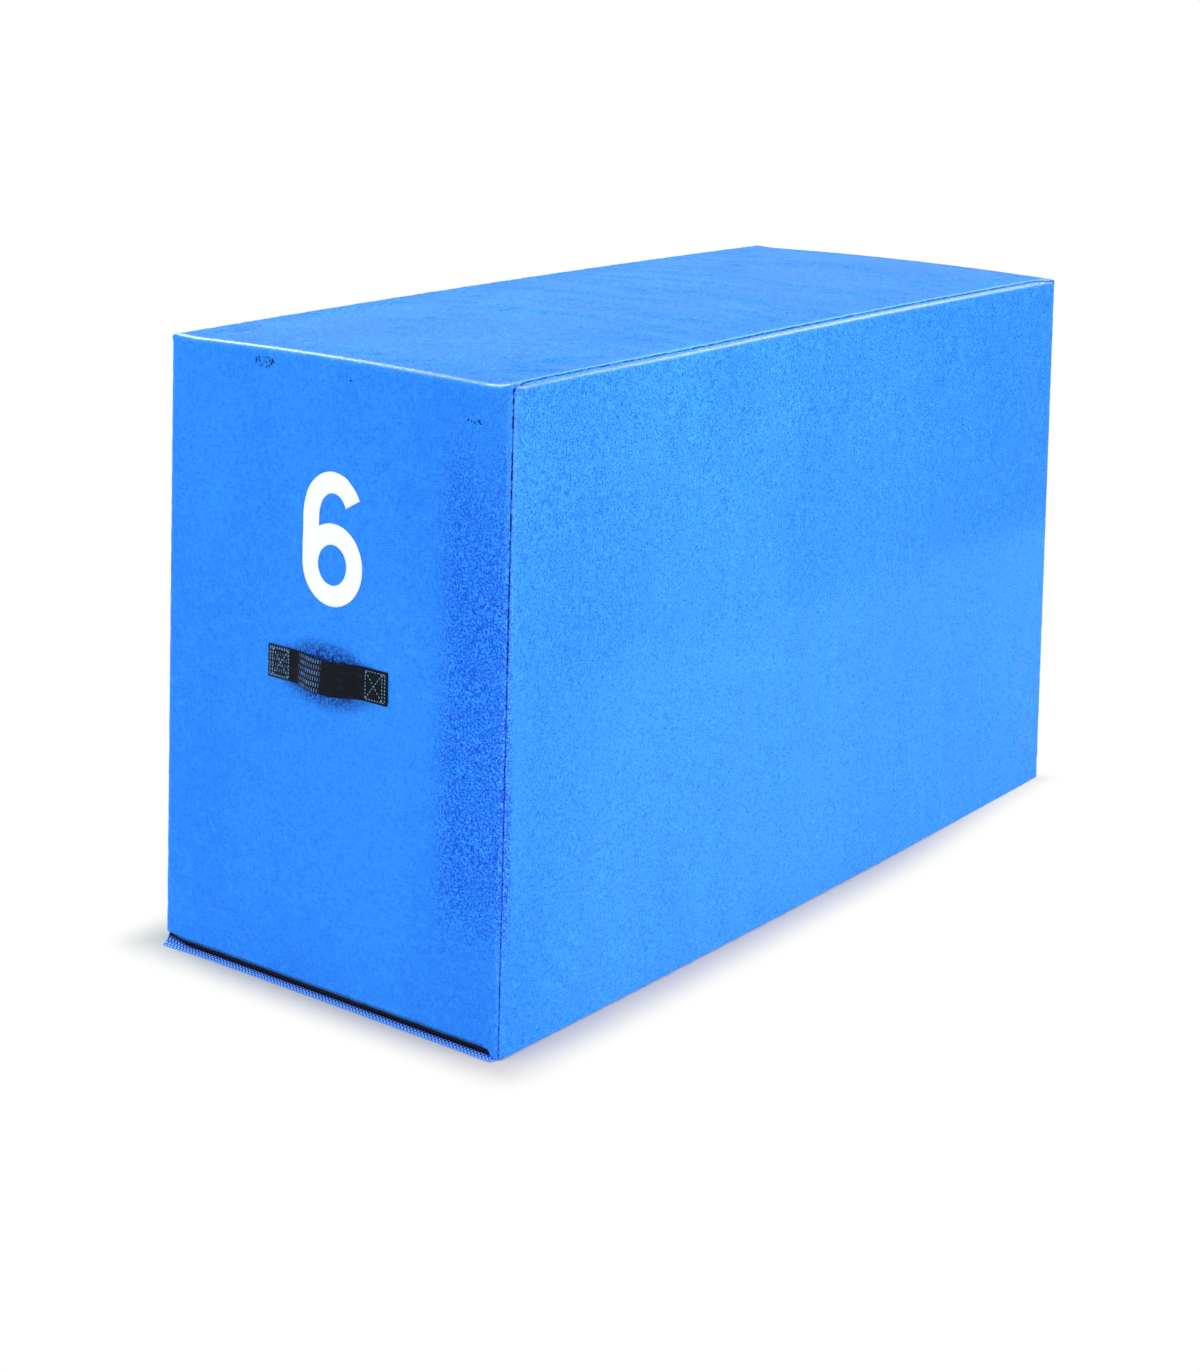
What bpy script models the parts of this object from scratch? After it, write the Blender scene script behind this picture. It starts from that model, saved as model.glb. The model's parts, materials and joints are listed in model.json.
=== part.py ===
"""Foam vaulting box: a soft block in a sewn cover of coated fabric, with a carrying handle on each end
and a zip along the foot of the front end and the left side.

Frame: metres, +Z up, origin in the middle of the underside. The front end, with its number, faces -Y.

Every piece is drawn on a straight box, and settled() then gives it the stance of a soft block: a little
wider at the foot than at the top, with each face crowned. Depths are measured inwards from the cover's
outer face.
"""

import math

import bmesh
import bpy
import numpy as np

# The block
BODY_WIDTH = 0.630
BODY_LENGTH = 1.490
BODY_HEIGHT = 0.900
EDGE_RADIUS = 0.012
SIDE_FLARE = 0.013  # how much further out each long side stands at the foot than at the top
END_FLARE = 0.027  # and each end
SIDE_CROWN = 0.004
END_CROWN = 0.004
FOOT_BULGE = 0.012  # the sewn foot of the right side bows out; the zip holds the other two straight
TOP_CROWN_ALONG = 0.005
TOP_CROWN_ACROSS = 0.006
TOP_CROWN_DEPTH = 0.250  # the crown of the top dies out this far down

# The cover and what it holds
COVER_THICKNESS = 0.001
BASE_THICKNESS = 0.0012
FIT_GAP = 0.0003
SEAM_TURN_UPRIGHT = math.radians(45)  # how far the end strip turns round an upright edge
SEAM_TURN_TOP = math.radians(12)  # and round a top edge, where the side panel rolls over it
SEAM_RUN_IN = 0.120  # the top seam leaves each corner over this length
PATCH_THICKNESS = 0.001
FOAM_SECTION_RADIUS = 0.020
FOAM_FOOT_CHAMFER_DEPTH = 0.008
FOAM_FOOT_CHAMFER_HEIGHT = 0.034
FOAM_TOP_GAP = 0.0006
CORE_LOWER_TOP = 0.300
CORE_MIDDLE_TOP = 0.600
TOP_LAYER_THICKNESS = 0.042
BOND_GAP = 0.0003

# The zip: heights above the floor, and distances out from the cover's face
HEM_HEIGHT = 0.016
HEM_RUN_OUT = 0.006  # the cover's lower edge comes down to the base over this length
HEM_TUCK = 0.0008  # the hem's upstand reaches this far in under the cover's edge
LIP_REACH = 0.008
LIP_THICKNESS = 0.002
LIP_UPSTAND = 0.0062
LIP_CURL = 4  # the power by which the lip's upper face curves up to the upstand
CHAIN_HEIGHT = 0.0113
TAPE_THICKNESS = 0.0006
TAPE_SETBACK = 0.0033
TAPE_EDGE = 0.0005  # half the space between the two tapes
TAPE_UPPER_TOP = 0.030
TAPE_SEWN_EDGE = 0.0185
TAPE_STEP = 0.001  # the lower tape steps back over this height either side of the upstand's top
TOOTH_PITCH = 0.006
TOOTH_REACH = 0.0028
TOOTH_MESH_GAP = 0.00045
TOOTH_THICKNESS = 0.0022
TEETH_PER_BEAD_KNOT = 10  # the bead's back is straight, so it needs a point only this often
BEAD_HEIGHT = 0.0019
STOP_LENGTH = 0.004
STOP_INSET = 0.002
STOP_BEVEL = 0.0006

# The slider and its pull
SLIDER_LENGTH = 0.020
SLIDER_FROM_END = 0.040
SLIDER_PLATE = 0.0015
SLIDER_WALL = 0.0006
SLIDER_FLANGE = 0.00176  # how far the flanges reach down beside the teeth
SLIDER_BEVEL = 0.0005
SLIDER_NOSE = 0.0008  # the plate thins by this much at each nose
SLIDER_NOSE_LENGTH = 0.003
BAIL_WIDTH = 0.0022
BAIL_SPAN = 0.0098
BAIL_BAR = 0.0012
PULL_LENGTH = 0.030
PULL_WIDTH = 0.008
PULL_THICKNESS = 0.0014
PULL_CORNER = 0.0006
PULL_TIP_RADIUS = 0.0036
PULL_WINDOW_LENGTH = 0.0050
PULL_WINDOW_WIDTH = 0.0046
PULL_WINDOW_CORNER = 0.0007
PULL_SLOT_FROM, PULL_SLOT_TO = 0.0198, 0.0258  # the grip slot, measured from the pivot
PULL_SLOT_WIDTH = 0.0032
PULL_SLOT_CORNER = 0.0015

# The handles
WEBBING_WIDTH = 0.047
WEBBING_THICKNESS = 0.002
HANDLE_LENGTH = 0.220
HANDLE_SEWN_LENGTH = 0.043
HANDLE_RISE = 0.024
HANDLE_SAG = 0.003
HANDLE_RAMP = 0.40  # share of the loop over which it rises at each side
HANDLE_OFFSET = -0.0035
HANDLE_HEIGHT = 0.4665
PATCH_MARGIN = 0.018

# The printed number
NUMBER_HEIGHT = 0.184
NUMBER_WIDTH = 0.110
NUMBER_STROKE = 0.029
NUMBER_BOWL_HEIGHT = 0.114
NUMBER_CROWN_HEIGHT = 0.0635  # from the middle of the hook's arc to the top
NUMBER_TERMINAL_ANGLE = 29  # degrees above level at which the hook is cut off
NUMBER_FOOT = 0.5625
PRINT_THICKNESS = 0.0003

HALF_WIDTH = BODY_WIDTH / 2
HALF_LENGTH = BODY_LENGTH / 2
CORE_X = HALF_WIDTH - EDGE_RADIUS
CORE_Y = HALF_LENGTH - EDGE_RADIUS
CORE_Z = BODY_HEIGHT - EDGE_RADIUS
PANEL_FOOT = BASE_THICKNESS + FIT_GAP
PATCH_DEPTH = COVER_THICKNESS + FIT_GAP
FOAM_DEPTH = PATCH_DEPTH + PATCH_THICKNESS + FIT_GAP

FIRST_STATION = 0.050
UPRIGHT_CELLS = 7
SIDE_ARC_CELLS = 2
WRAP_ARC_CELLS = 3
ACROSS_CELLS = 8
FRONT, BACK = -1, 1


def colour(name, rgb, roughness, metallic=0.0):
    material = bpy.data.materials.new(name)
    material.use_nodes = True
    material.diffuse_color = (*rgb, 1)
    shader = material.node_tree.nodes["Principled BSDF"]
    shader.inputs["Base Color"].default_value = (*rgb, 1)
    shader.inputs["Roughness"].default_value = roughness
    shader.inputs["Metallic"].default_value = metallic
    return material


def settled(points):
    """The straight box's points, carried to where the soft block's lie."""
    x, y, z = np.moveaxis(np.asarray(points, float), -1, 0)
    rise = z / BODY_HEIGHT
    across = x / HALF_WIDTH
    along = y / HALF_LENGTH
    open_across = 1 - np.clip(across, -1, 1) ** 2
    open_along = 1 - np.clip(along, -1, 1) ** 2
    belly = np.sin(math.pi * np.clip(rise, 0, 1)) ** 2
    foot = np.where(across > 0, (1 - np.clip(rise, 0, 1)) ** 2, 0)
    crest = np.clip((z - (BODY_HEIGHT - TOP_CROWN_DEPTH)) / TOP_CROWN_DEPTH, 0, None) ** 2
    side_stand = SIDE_FLARE * (0.5 - rise) + open_along * (SIDE_CROWN * belly + FOOT_BULGE * foot)
    end_stand = END_FLARE * (0.5 - rise) + open_across * END_CROWN * belly
    return np.stack(
        [
            x + across * side_stand,
            y + along * end_stand,
            z + crest * (TOP_CROWN_ALONG * open_along + TOP_CROWN_ACROSS * open_across),
        ],
        axis=-1,
    )


def add_object(name, points, faces, material, origin=(0, 0, 0), parent=None):
    """A mesh object whose own origin is at origin; the points are in the part's frame."""
    mesh = bpy.data.meshes.new(name)
    local = np.asarray(points, float).reshape(-1, 3) - np.asarray(origin)
    mesh.from_pydata(local.tolist(), [], faces)
    mesh.materials.append(material)
    built = bmesh.new()
    built.from_mesh(mesh)
    bmesh.ops.remove_doubles(built, verts=built.verts, dist=1e-6)
    bmesh.ops.recalc_face_normals(built, faces=built.faces)
    built.to_mesh(mesh)
    built.free()
    mesh.shade_smooth()
    mesh.set_sharp_from_angle(angle=math.radians(35))
    obj = bpy.data.objects.new(name, mesh)
    bpy.context.scene.collection.objects.link(obj)
    obj.location = origin
    if parent is not None:
        obj.parent = parent
        obj.location = np.asarray(origin) - np.asarray(parent.location)
    return obj


def grid_faces(rows, columns, start=0, flip=False):
    index = start + np.arange(rows * columns).reshape(rows, columns)
    quads = np.stack([index[:-1, :-1], index[:-1, 1:], index[1:, 1:], index[1:, :-1]], -1).reshape(-1, 4)
    return (quads[:, ::-1] if flip else quads).tolist()


def sheet(name, surface, thickness, material):
    """A closed panel between surface(0) and surface(thickness), two grids of points alike in shape."""
    outer, inner = surface(0.0), surface(thickness)
    rows, columns = outer.shape[:2]
    count = rows * columns
    index = np.arange(count).reshape(rows, columns)
    rim = np.concatenate([index[0], index[1:, -1], index[-1, -2::-1], index[-2:0:-1, 0]])
    following = np.roll(rim, -1)
    walls = np.stack([rim, rim + count, following + count, following], -1).tolist()
    faces = grid_faces(rows, columns) + grid_faces(rows, columns, count, True) + walls
    points = np.concatenate([outer.reshape(-1, 3), inner.reshape(-1, 3)])
    return add_object(name, settled(points), faces, material)


def tube_faces(sections, around):
    """The faces between sections of points, each the same count round it, and a cap at both ends."""
    index = np.arange(sections * around).reshape(sections, around)
    turned = np.roll(index, -1, axis=1)
    faces = np.stack([index[:-1], turned[:-1], turned[1:], index[1:]], -1).reshape(-1, 4).tolist()
    return faces + [index[0][::-1].tolist(), index[-1].tolist()]


def sweep(name, sections, material):
    """A closed solid through sections of points, given on the straight box."""
    sections = np.asarray(sections, float)
    faces = tube_faces(*sections.shape[:2])
    return add_object(name, settled(sections.reshape(-1, 3)), faces, material)


def upright_stations():
    return np.linspace(FIRST_STATION, CORE_Z, UPRIGHT_CELLS)


def along_stations():
    """Places along the top: close together where the seam runs in from the corners."""
    near = -CORE_Y + SEAM_RUN_IN * np.linspace(0, 1, 5)
    near = np.insert(near, 1, HEM_RUN_OUT - CORE_Y)
    middle = np.linspace(near[-1], -near[-1], 9)
    return np.concatenate([near[:-1], middle, -near[::-1][1:]])


def seam_turn(y):
    """How far the strip turns round the top edge at y: mid-edge at the corners, near the top between."""
    inwards = np.clip((CORE_Y - np.abs(y)) / SEAM_RUN_IN, 0, 1)
    eased = inwards**2 * (3 - 2 * inwards)
    return SEAM_TURN_UPRIGHT + (SEAM_TURN_TOP - SEAM_TURN_UPRIGHT) * eased


def wrap_rows():
    """The strip's run from the foot of the front, over the top, to the foot of the back: for each row the
    middle of its edge circle (y, z), the way its face looks (y, z) and how far it turns at its sides."""
    upright = [0.0, *upright_stations()]
    quarter = np.linspace(0, math.pi / 2, 2 * SIDE_ARC_CELLS + 1)
    rows = [(-CORE_Y, z, -1.0, 0.0, SEAM_TURN_UPRIGHT) for z in upright]
    rows += [(-CORE_Y, CORE_Z, -math.cos(a), math.sin(a), SEAM_TURN_UPRIGHT) for a in quarter[1:]]
    rows += [(y, CORE_Z, 0.0, 1.0, seam_turn(y)) for y in along_stations()[1:]]
    rows += [(CORE_Y, CORE_Z, math.sin(a), math.cos(a), SEAM_TURN_UPRIGHT) for a in quarter[1:]]
    rows += [(CORE_Y, z, 1.0, 0.0, SEAM_TURN_UPRIGHT) for z in upright[-2::-1]]
    return np.array(rows)


def wrap_surface(depth):
    """The strip at a depth: flat across its middle and turned by an arc at each side."""
    rows = wrap_rows()
    flat = np.linspace(-CORE_X, CORE_X, ACROSS_CELLS + 1)
    flat = np.insert(flat, -1, CORE_X - HEM_RUN_OUT)
    steps = np.linspace(0, 1, WRAP_ARC_CELLS + 1)[1:]
    columns_x = np.concatenate([np.full(WRAP_ARC_CELLS, -CORE_X), flat, np.full(WRAP_ARC_CELLS, CORE_X)])
    share = np.concatenate([-steps[::-1], np.zeros(len(flat)), steps])
    turn = rows[:, 4][:, None] * share[None]
    radius = EDGE_RADIUS - depth
    shape = turn.shape
    x = np.broadcast_to(columns_x, shape) + radius * np.sin(turn)
    y = rows[:, 0][:, None] + radius * np.cos(turn) * rows[:, 2][:, None]
    z = rows[:, 1][:, None] + radius * np.cos(turn) * rows[:, 3][:, None]
    z[0] = np.where(columns_x < CORE_X - 1e-9, HEM_HEIGHT, PANEL_FOOT)
    z[-1] = PANEL_FOOT
    return np.stack([x, y, z], -1)


def side_surface(side):
    """The side panel at a depth: flat, and rolled over its front, top and back edges up to the seam."""

    def surface(depth):
        flat_y = along_stations()
        arc = np.linspace(0, 1, SIDE_ARC_CELLS + 1)[1:]
        over_y = np.concatenate([-arc[::-1], np.zeros(len(flat_y)), arc])
        core_y = np.concatenate([np.full(SIDE_ARC_CELLS, -CORE_Y), flat_y, np.full(SIDE_ARC_CELLS, CORE_Y)])
        flat_z = np.array([PANEL_FOOT, *upright_stations()])
        over_z = np.concatenate([np.zeros(len(flat_z)), arc])
        core_z = np.concatenate([flat_z, np.full(SIDE_ARC_CELLS, CORE_Z)])
        y, z = np.meshgrid(core_y, core_z)
        v, w = np.meshgrid(over_y, over_z)
        reach = np.maximum(np.abs(v), w)
        safe = np.where(reach > 0, reach, 1)
        # The square corner of the grid is laid on the ball corner of the box, ring by ring.
        bearing = np.where(np.abs(v) >= w, w / safe, 2 - np.abs(v) / safe) * math.pi / 4
        bearing = np.where(reach > 0, bearing, 0)
        on_top = (w > 0) & (v == 0)
        turn = np.where(on_top, seam_turn(y), SEAM_TURN_UPRIGHT)
        clear = FIT_GAP / (EDGE_RADIUS - COVER_THICKNESS)
        tilt = reach * (math.pi / 2 - turn - clear)
        radius = EDGE_RADIUS - depth
        x = side * (CORE_X + radius * np.cos(tilt))
        y = y + radius * np.sin(tilt) * np.cos(bearing) * np.sign(v)
        z = z + radius * np.sin(tilt) * np.sin(bearing)
        if side < 0:
            z[0] = np.where(core_y < CORE_Y - 1e-9, HEM_HEIGHT, PANEL_FOOT)
        return np.stack([x, y, z], -1)

    return surface


def rounded_outline(depth, radius, z, along_cells=8, across_cells=4, corner_cells=3):
    """The block's plan outline at a depth, anticlockwise, as points at height z."""
    half_x, half_y = HALF_WIDTH - depth, HALF_LENGTH - depth
    corners = [(1, 1, 0), (-1, 1, 90), (-1, -1, 180), (1, -1, 270)]
    cells = [across_cells, along_cells, across_cells, along_cells]
    outline = []
    for (sx, sy, start), count in zip(corners, cells):
        angles = np.radians(start + np.linspace(0, 90, corner_cells + 1))
        centre = np.array([sx * (half_x - radius), sy * (half_y - radius)])
        outline += [centre + radius * np.array([math.cos(a), math.sin(a)]) for a in angles]
        sx2, sy2, start2 = corners[(corners.index((sx, sy, start)) + 1) % 4]
        target = np.array([sx2 * (half_x - radius), sy2 * (half_y - radius)])
        target = target + radius * np.array([math.cos(angles[-1]), math.sin(angles[-1])])
        outline += [outline[-1] + (target - outline[-1]) * k / count for k in range(1, count)]
    plan = np.array(outline)
    return np.column_stack([plan, np.full(len(plan), z)])


def foam_slab(name, levels, material, domed_foot=False, domed_top=False):
    """A slab lofted through (height, depth) levels. A domed face gets rings, so that it can be crowned."""
    rings = [rounded_outline(depth, FOAM_SECTION_RADIUS, z) for z, depth in levels]
    shrink = (0.75, 0.5, 0.25)
    if domed_foot:
        rings = [rings[0] * (s, s, 1) for s in shrink[::-1]] + rings
    if domed_top:
        rings = rings + [rings[-1] * (s, s, 1) for s in shrink]
    return sweep(name, rings, material)


def make_foam(material, firm):
    foot = PANEL_FOOT
    top = BODY_HEIGHT - COVER_THICKNESS - FOAM_TOP_GAP
    layer_foot = top - TOP_LAYER_THICKNESS
    chamfered = [
        (foot, FOAM_DEPTH + FOAM_FOOT_CHAMFER_DEPTH),
        (foot + FOAM_FOOT_CHAMFER_HEIGHT, FOAM_DEPTH),
        (CORE_LOWER_TOP / 2, FOAM_DEPTH),
        (CORE_LOWER_TOP, FOAM_DEPTH),
    ]
    middle = np.linspace(CORE_LOWER_TOP + BOND_GAP, CORE_MIDDLE_TOP, 3)
    upper = np.linspace(CORE_MIDDLE_TOP + BOND_GAP, layer_foot - BOND_GAP, 4)
    soft_edge = EDGE_RADIUS - COVER_THICKNESS
    crowned = [(layer_foot, FOAM_DEPTH)]
    for turn in np.radians([0, 45, 90]):
        rise, retreat = soft_edge * (math.sin(turn) - 1), soft_edge * (1 - math.cos(turn))
        crowned.append((top + rise, FOAM_DEPTH + retreat))
    foam_slab("foam_core_lower", chamfered, material)
    foam_slab("foam_core_middle", [(z, FOAM_DEPTH) for z in middle], material)
    foam_slab("foam_core_upper", [(z, FOAM_DEPTH) for z in upper], material, domed_top=True)
    foam_slab("foam_top_layer", crowned, firm, domed_foot=True, domed_top=True)


def make_base(material):
    sections = [rounded_outline(0.0, EDGE_RADIUS, z, 16, 8, 5) for z in (0.0, BASE_THICKNESS)]
    sweep("cover_base", sections, material)


def zip_path(out, distances):
    """Points (x, y) of the zip's way round the foot, at distances from its right front end: along the
    front, round the corner and back along the left side, standing out from the cover's face by out."""
    front_run = 2 * CORE_X - HEM_RUN_OUT
    corner_run = EDGE_RADIUS * math.pi / 2
    d = np.asarray(distances, float)
    angle = np.clip((d - front_run) / EDGE_RADIUS, 0, math.pi / 2)
    x = CORE_X - HEM_RUN_OUT - np.clip(d, 0, front_run) - (EDGE_RADIUS + out) * np.sin(angle)
    y = -CORE_Y - (EDGE_RADIUS + out) * np.cos(angle) + np.clip(d - front_run - corner_run, 0, None)
    return x, y


ZIP_FRONT_RUN = 2 * CORE_X - HEM_RUN_OUT
ZIP_CORNER_RUN = EDGE_RADIUS * math.pi / 2
ZIP_LENGTH = ZIP_FRONT_RUN + ZIP_CORNER_RUN + 2 * CORE_Y - HEM_RUN_OUT
SLIDER_DISTANCE = ZIP_LENGTH - SLIDER_FROM_END
STOP_END_DISTANCE = SLIDER_DISTANCE + SLIDER_LENGTH / 2 + 2 * FIT_GAP


def zip_stations(first, last):
    corner = ZIP_FRONT_RUN + ZIP_CORNER_RUN * np.linspace(0, 1, 7)
    front = np.linspace(first, ZIP_FRONT_RUN, 6)[:-1]
    side = np.linspace(ZIP_FRONT_RUN + ZIP_CORNER_RUN, last, 8)[1:]
    return np.concatenate([front, corner, side])


def along_zip(name, profile, material, first=0.0, last=ZIP_LENGTH):
    """A strip of one cross-section, given as (out, height) points, carried along the zip's way."""
    distances = zip_stations(first, last)
    columns = []
    for out, height in profile:
        x, y = zip_path(out, distances)
        columns.append(np.stack([x, y, np.full(len(x), height)], -1))
    return sweep(name, np.stack(columns, 1), material)


def make_hem(material):
    """The base's hem: an upstand sewn to the lower tape, and a lip that stands out on the floor."""
    rises = np.array([0.0, 0.5, 0.8, 1.0])
    outs = LIP_REACH + (FIT_GAP - LIP_REACH) * rises
    heights = LIP_THICKNESS + (LIP_UPSTAND - LIP_THICKNESS) * rises**LIP_CURL
    profile = [(-HEM_TUCK, PANEL_FOOT), (FIT_GAP, PANEL_FOOT), (FIT_GAP, 0.0), (LIP_REACH, 0.0)]
    profile += [*zip(outs, heights), (-HEM_TUCK, LIP_UPSTAND)]
    along_zip("base_hem", profile, material)


def make_tapes(material):
    """Each tape is sewn flat behind its neighbour and steps back to carry its row of teeth."""
    near, far = -PATCH_DEPTH, -TAPE_SETBACK
    upper = [
        (near, TAPE_UPPER_TOP),
        (near, TAPE_SEWN_EDGE),
        (far, HEM_HEIGHT),
        (far, CHAIN_HEIGHT + TAPE_EDGE),
    ]
    lower_near = -HEM_TUCK - FIT_GAP
    lower = [
        (far, CHAIN_HEIGHT - TAPE_EDGE),
        (far, LIP_UPSTAND + TAPE_STEP),
        (lower_near, LIP_UPSTAND - TAPE_STEP),
        (lower_near, PANEL_FOOT + FIT_GAP),
    ]
    for name, face in (("zip_tape_upper", upper), ("zip_tape_lower", lower)):
        back = [(out - TAPE_THICKNESS, height) for out, height in face[::-1]]
        along_zip(name, face + back, material)


def make_teeth(name, way, material):
    """One row of teeth, way +1 hanging from the upper tape and -1 standing on the lower one. Both follow
    the same zigzag, a mesh gap apart, so that each row's points lie in the other's hollows."""
    first = STOP_INSET + STOP_LENGTH + FIT_GAP
    last = STOP_END_DISTANCE - FIT_GAP
    steps = 2 * int((last - first) / TOOTH_PITCH) + 1
    distances = first + np.arange(steps) * TOOTH_PITCH / 2
    half_reach = TOOTH_REACH / 2
    edge = np.where(np.arange(steps) % 2 == 0, -half_reach, half_reach)
    bead = half_reach + TOOTH_MESH_GAP / 2 + BEAD_HEIGHT
    tips = CHAIN_HEIGHT + edge + way * TOOTH_MESH_GAP / 2
    outs = (-TAPE_SETBACK + FIT_GAP, -TAPE_SETBACK + FIT_GAP + TOOTH_THICKNESS)
    on_corner = (distances > ZIP_FRONT_RUN - TOOTH_PITCH) & (
        distances < ZIP_FRONT_RUN + ZIP_CORNER_RUN + TOOTH_PITCH
    )
    knot = on_corner | (np.arange(steps) % (2 * TEETH_PER_BEAD_KNOT) == 0)
    knot[0] = knot[-1] = True
    points, tooth_index, bead_index = [], [], {}
    for out in outs:
        x, y = zip_path(out, distances)
        tooth_index.append(len(points) + np.arange(steps))
        points += list(np.stack([x, y, tips], -1))
    for layer, out in enumerate(outs):
        x, y = zip_path(out, distances)
        for k in np.flatnonzero(knot):
            bead_index[layer, k] = len(points)
            points.append((x[k], y[k], CHAIN_HEIGHT + way * bead))
    faces = [
        (tooth_index[0][k], tooth_index[0][k + 1], tooth_index[1][k + 1], tooth_index[1][k])
        for k in range(steps - 1)
    ]
    knots = np.flatnonzero(knot)
    for low, high in zip(knots[:-1], knots[1:]):
        for layer in (0, 1):
            bead_back = [bead_index[layer, high], bead_index[layer, low]]
            faces.append(list(tooth_index[layer][low : high + 1]) + bead_back)
        faces.append((bead_index[0, low], bead_index[0, high], bead_index[1, high], bead_index[1, low]))
    for k in (knots[0], knots[-1]):
        faces.append((tooth_index[0][k], tooth_index[1][k], bead_index[1, k], bead_index[0, k]))
    faces = [[int(i) for i in face] for face in faces]
    return add_object(name, settled(np.array(points)), faces, material)


def make_stop(name, start, material):
    """A crimped metal stop across both rows."""
    half = TOOTH_REACH / 2 + TOOTH_MESH_GAP / 2 + BEAD_HEIGHT
    back, face = -TAPE_SETBACK + FIT_GAP, -TAPE_SETBACK + FIT_GAP + TOOTH_THICKNESS
    profile = [
        (back, -half),
        (face - STOP_BEVEL, -half),
        (face, -half + STOP_BEVEL),
        (face, half - STOP_BEVEL),
        (face - STOP_BEVEL, half),
        (back, half),
    ]
    sections = []
    for distance in (start, start + STOP_LENGTH):
        section = []
        for out, height in profile:
            x, y = zip_path(out, distance)
            section.append((float(x), float(y), CHAIN_HEIGHT + height))
        sections.append(section)
    sweep(name, sections, material)


def extrude_outlines(outlines, thickness):
    """Points (n, 3) and faces of a flat plate in x and y with holes, its thickness along z from 0."""
    curve = bpy.data.curves.new("outline", "CURVE")
    curve.dimensions = "2D"
    curve.fill_mode = "BOTH"
    curve.extrude = thickness / 2
    for outline in outlines:
        spline = curve.splines.new("POLY")
        spline.points.add(len(outline) - 1)
        level, weight = np.zeros(len(outline)), np.ones(len(outline))
        spline.points.foreach_set("co", np.column_stack([outline, level, weight]).ravel())
        spline.use_cyclic_u = True
    helper = bpy.data.objects.new("outline", curve)
    bpy.context.scene.collection.objects.link(helper)
    bpy.context.view_layer.update()
    mesh = bpy.data.meshes.new_from_object(helper)
    points = np.empty(3 * len(mesh.vertices))
    mesh.vertices.foreach_get("co", points)
    points = points.reshape(-1, 3) + (0, 0, thickness / 2)
    faces = [list(polygon.vertices) for polygon in mesh.polygons]
    bpy.data.objects.remove(helper)
    bpy.data.meshes.remove(mesh)
    bpy.data.curves.remove(curve)
    return points, faces


def rounded_rectangle(low, high, radius, cells=4):
    x0, y0 = low[0] + radius, low[1] + radius
    x1, y1 = high[0] - radius, high[1] - radius
    centres = [(x1, y1), (x0, y1), (x0, y0), (x1, y0)]
    outline = []
    for quarter, (cx, cy) in enumerate(centres):
        for a in np.radians(90 * quarter + np.linspace(0, 90, cells + 1)):
            outline.append((cx + radius * math.cos(a), cy + radius * math.sin(a)))
    return np.array(outline)


def slider_origin():
    """The middle of the slider on the cover's left face, in the part's frame."""
    x, y = zip_path(0.0, SLIDER_DISTANCE)
    return settled((float(x), float(y), CHAIN_HEIGHT))


def on_left_face(points, origin):
    """Points given as (along +Y, height, out) about origin, in the part's frame."""
    points = np.asarray(points, float)
    return np.asarray(origin) + np.stack([-points[:, 2], points[:, 0], points[:, 1]], -1)


def make_slider(material):
    """The slider's outer shell: a plate with two flanges that hold the beads, and a bail for the pull."""
    origin = slider_origin()
    bead = TOOTH_REACH / 2 + TOOTH_MESH_GAP / 2 + BEAD_HEIGHT
    inner = bead + FIT_GAP
    outer = inner + SLIDER_WALL
    under = -TAPE_SETBACK + FIT_GAP + TOOTH_THICKNESS + FIT_GAP
    face = under + SLIDER_PLATE
    flange = under - SLIDER_FLANGE
    half = SLIDER_LENGTH / 2
    shoulder = half - SLIDER_NOSE_LENGTH
    nose = face - SLIDER_NOSE
    sections = []
    for s, level in ((-half, nose), (-shoulder, face), (shoulder, face), (half, nose)):
        profile = [
            (flange, -outer),
            (level - SLIDER_BEVEL, -outer),
            (level, -outer + SLIDER_BEVEL),
            (level, outer - SLIDER_BEVEL),
            (level - SLIDER_BEVEL, outer),
            (flange, outer),
            (flange, inner),
            (under, inner),
            (under, -inner),
            (flange, -inner),
        ]
        sections.append([(s, height, out) for out, height in profile])
    points = on_left_face(np.array(sections).reshape(-1, 3), origin)
    slider = add_object("zip_slider", points, tube_faces(len(sections), len(profile)), material, origin)

    post = BAIL_SPAN / 2
    inner_rise = face + FIT_GAP + PULL_THICKNESS + FIT_GAP
    rise = inner_rise + BAIL_BAR
    arch = [
        (-post, face - BAIL_BAR / 2),
        (-post, rise - BAIL_BAR),
        (-post + BAIL_BAR, rise),
        (post - BAIL_BAR, rise),
        (post, rise - BAIL_BAR),
        (post, face - BAIL_BAR / 2),
        (post - BAIL_BAR, face - BAIL_BAR / 2),
        (post - BAIL_BAR, inner_rise),
        (-post + BAIL_BAR, inner_rise),
        (-post + BAIL_BAR, face - BAIL_BAR / 2),
    ]
    width = BAIL_WIDTH / 2
    bail_points = [(s, height, out) for height in (-width, width) for s, out in arch]
    faces = tube_faces(2, len(arch))
    bail = add_object("slider_bail", on_left_face(bail_points, origin), faces, material, origin)
    bail.hide_render = True
    bail.display_type = "WIRE"
    join = slider.modifiers.new("bail", "BOOLEAN")
    join.operation = "UNION"
    join.object = bail
    return slider, face + FIT_GAP


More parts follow.
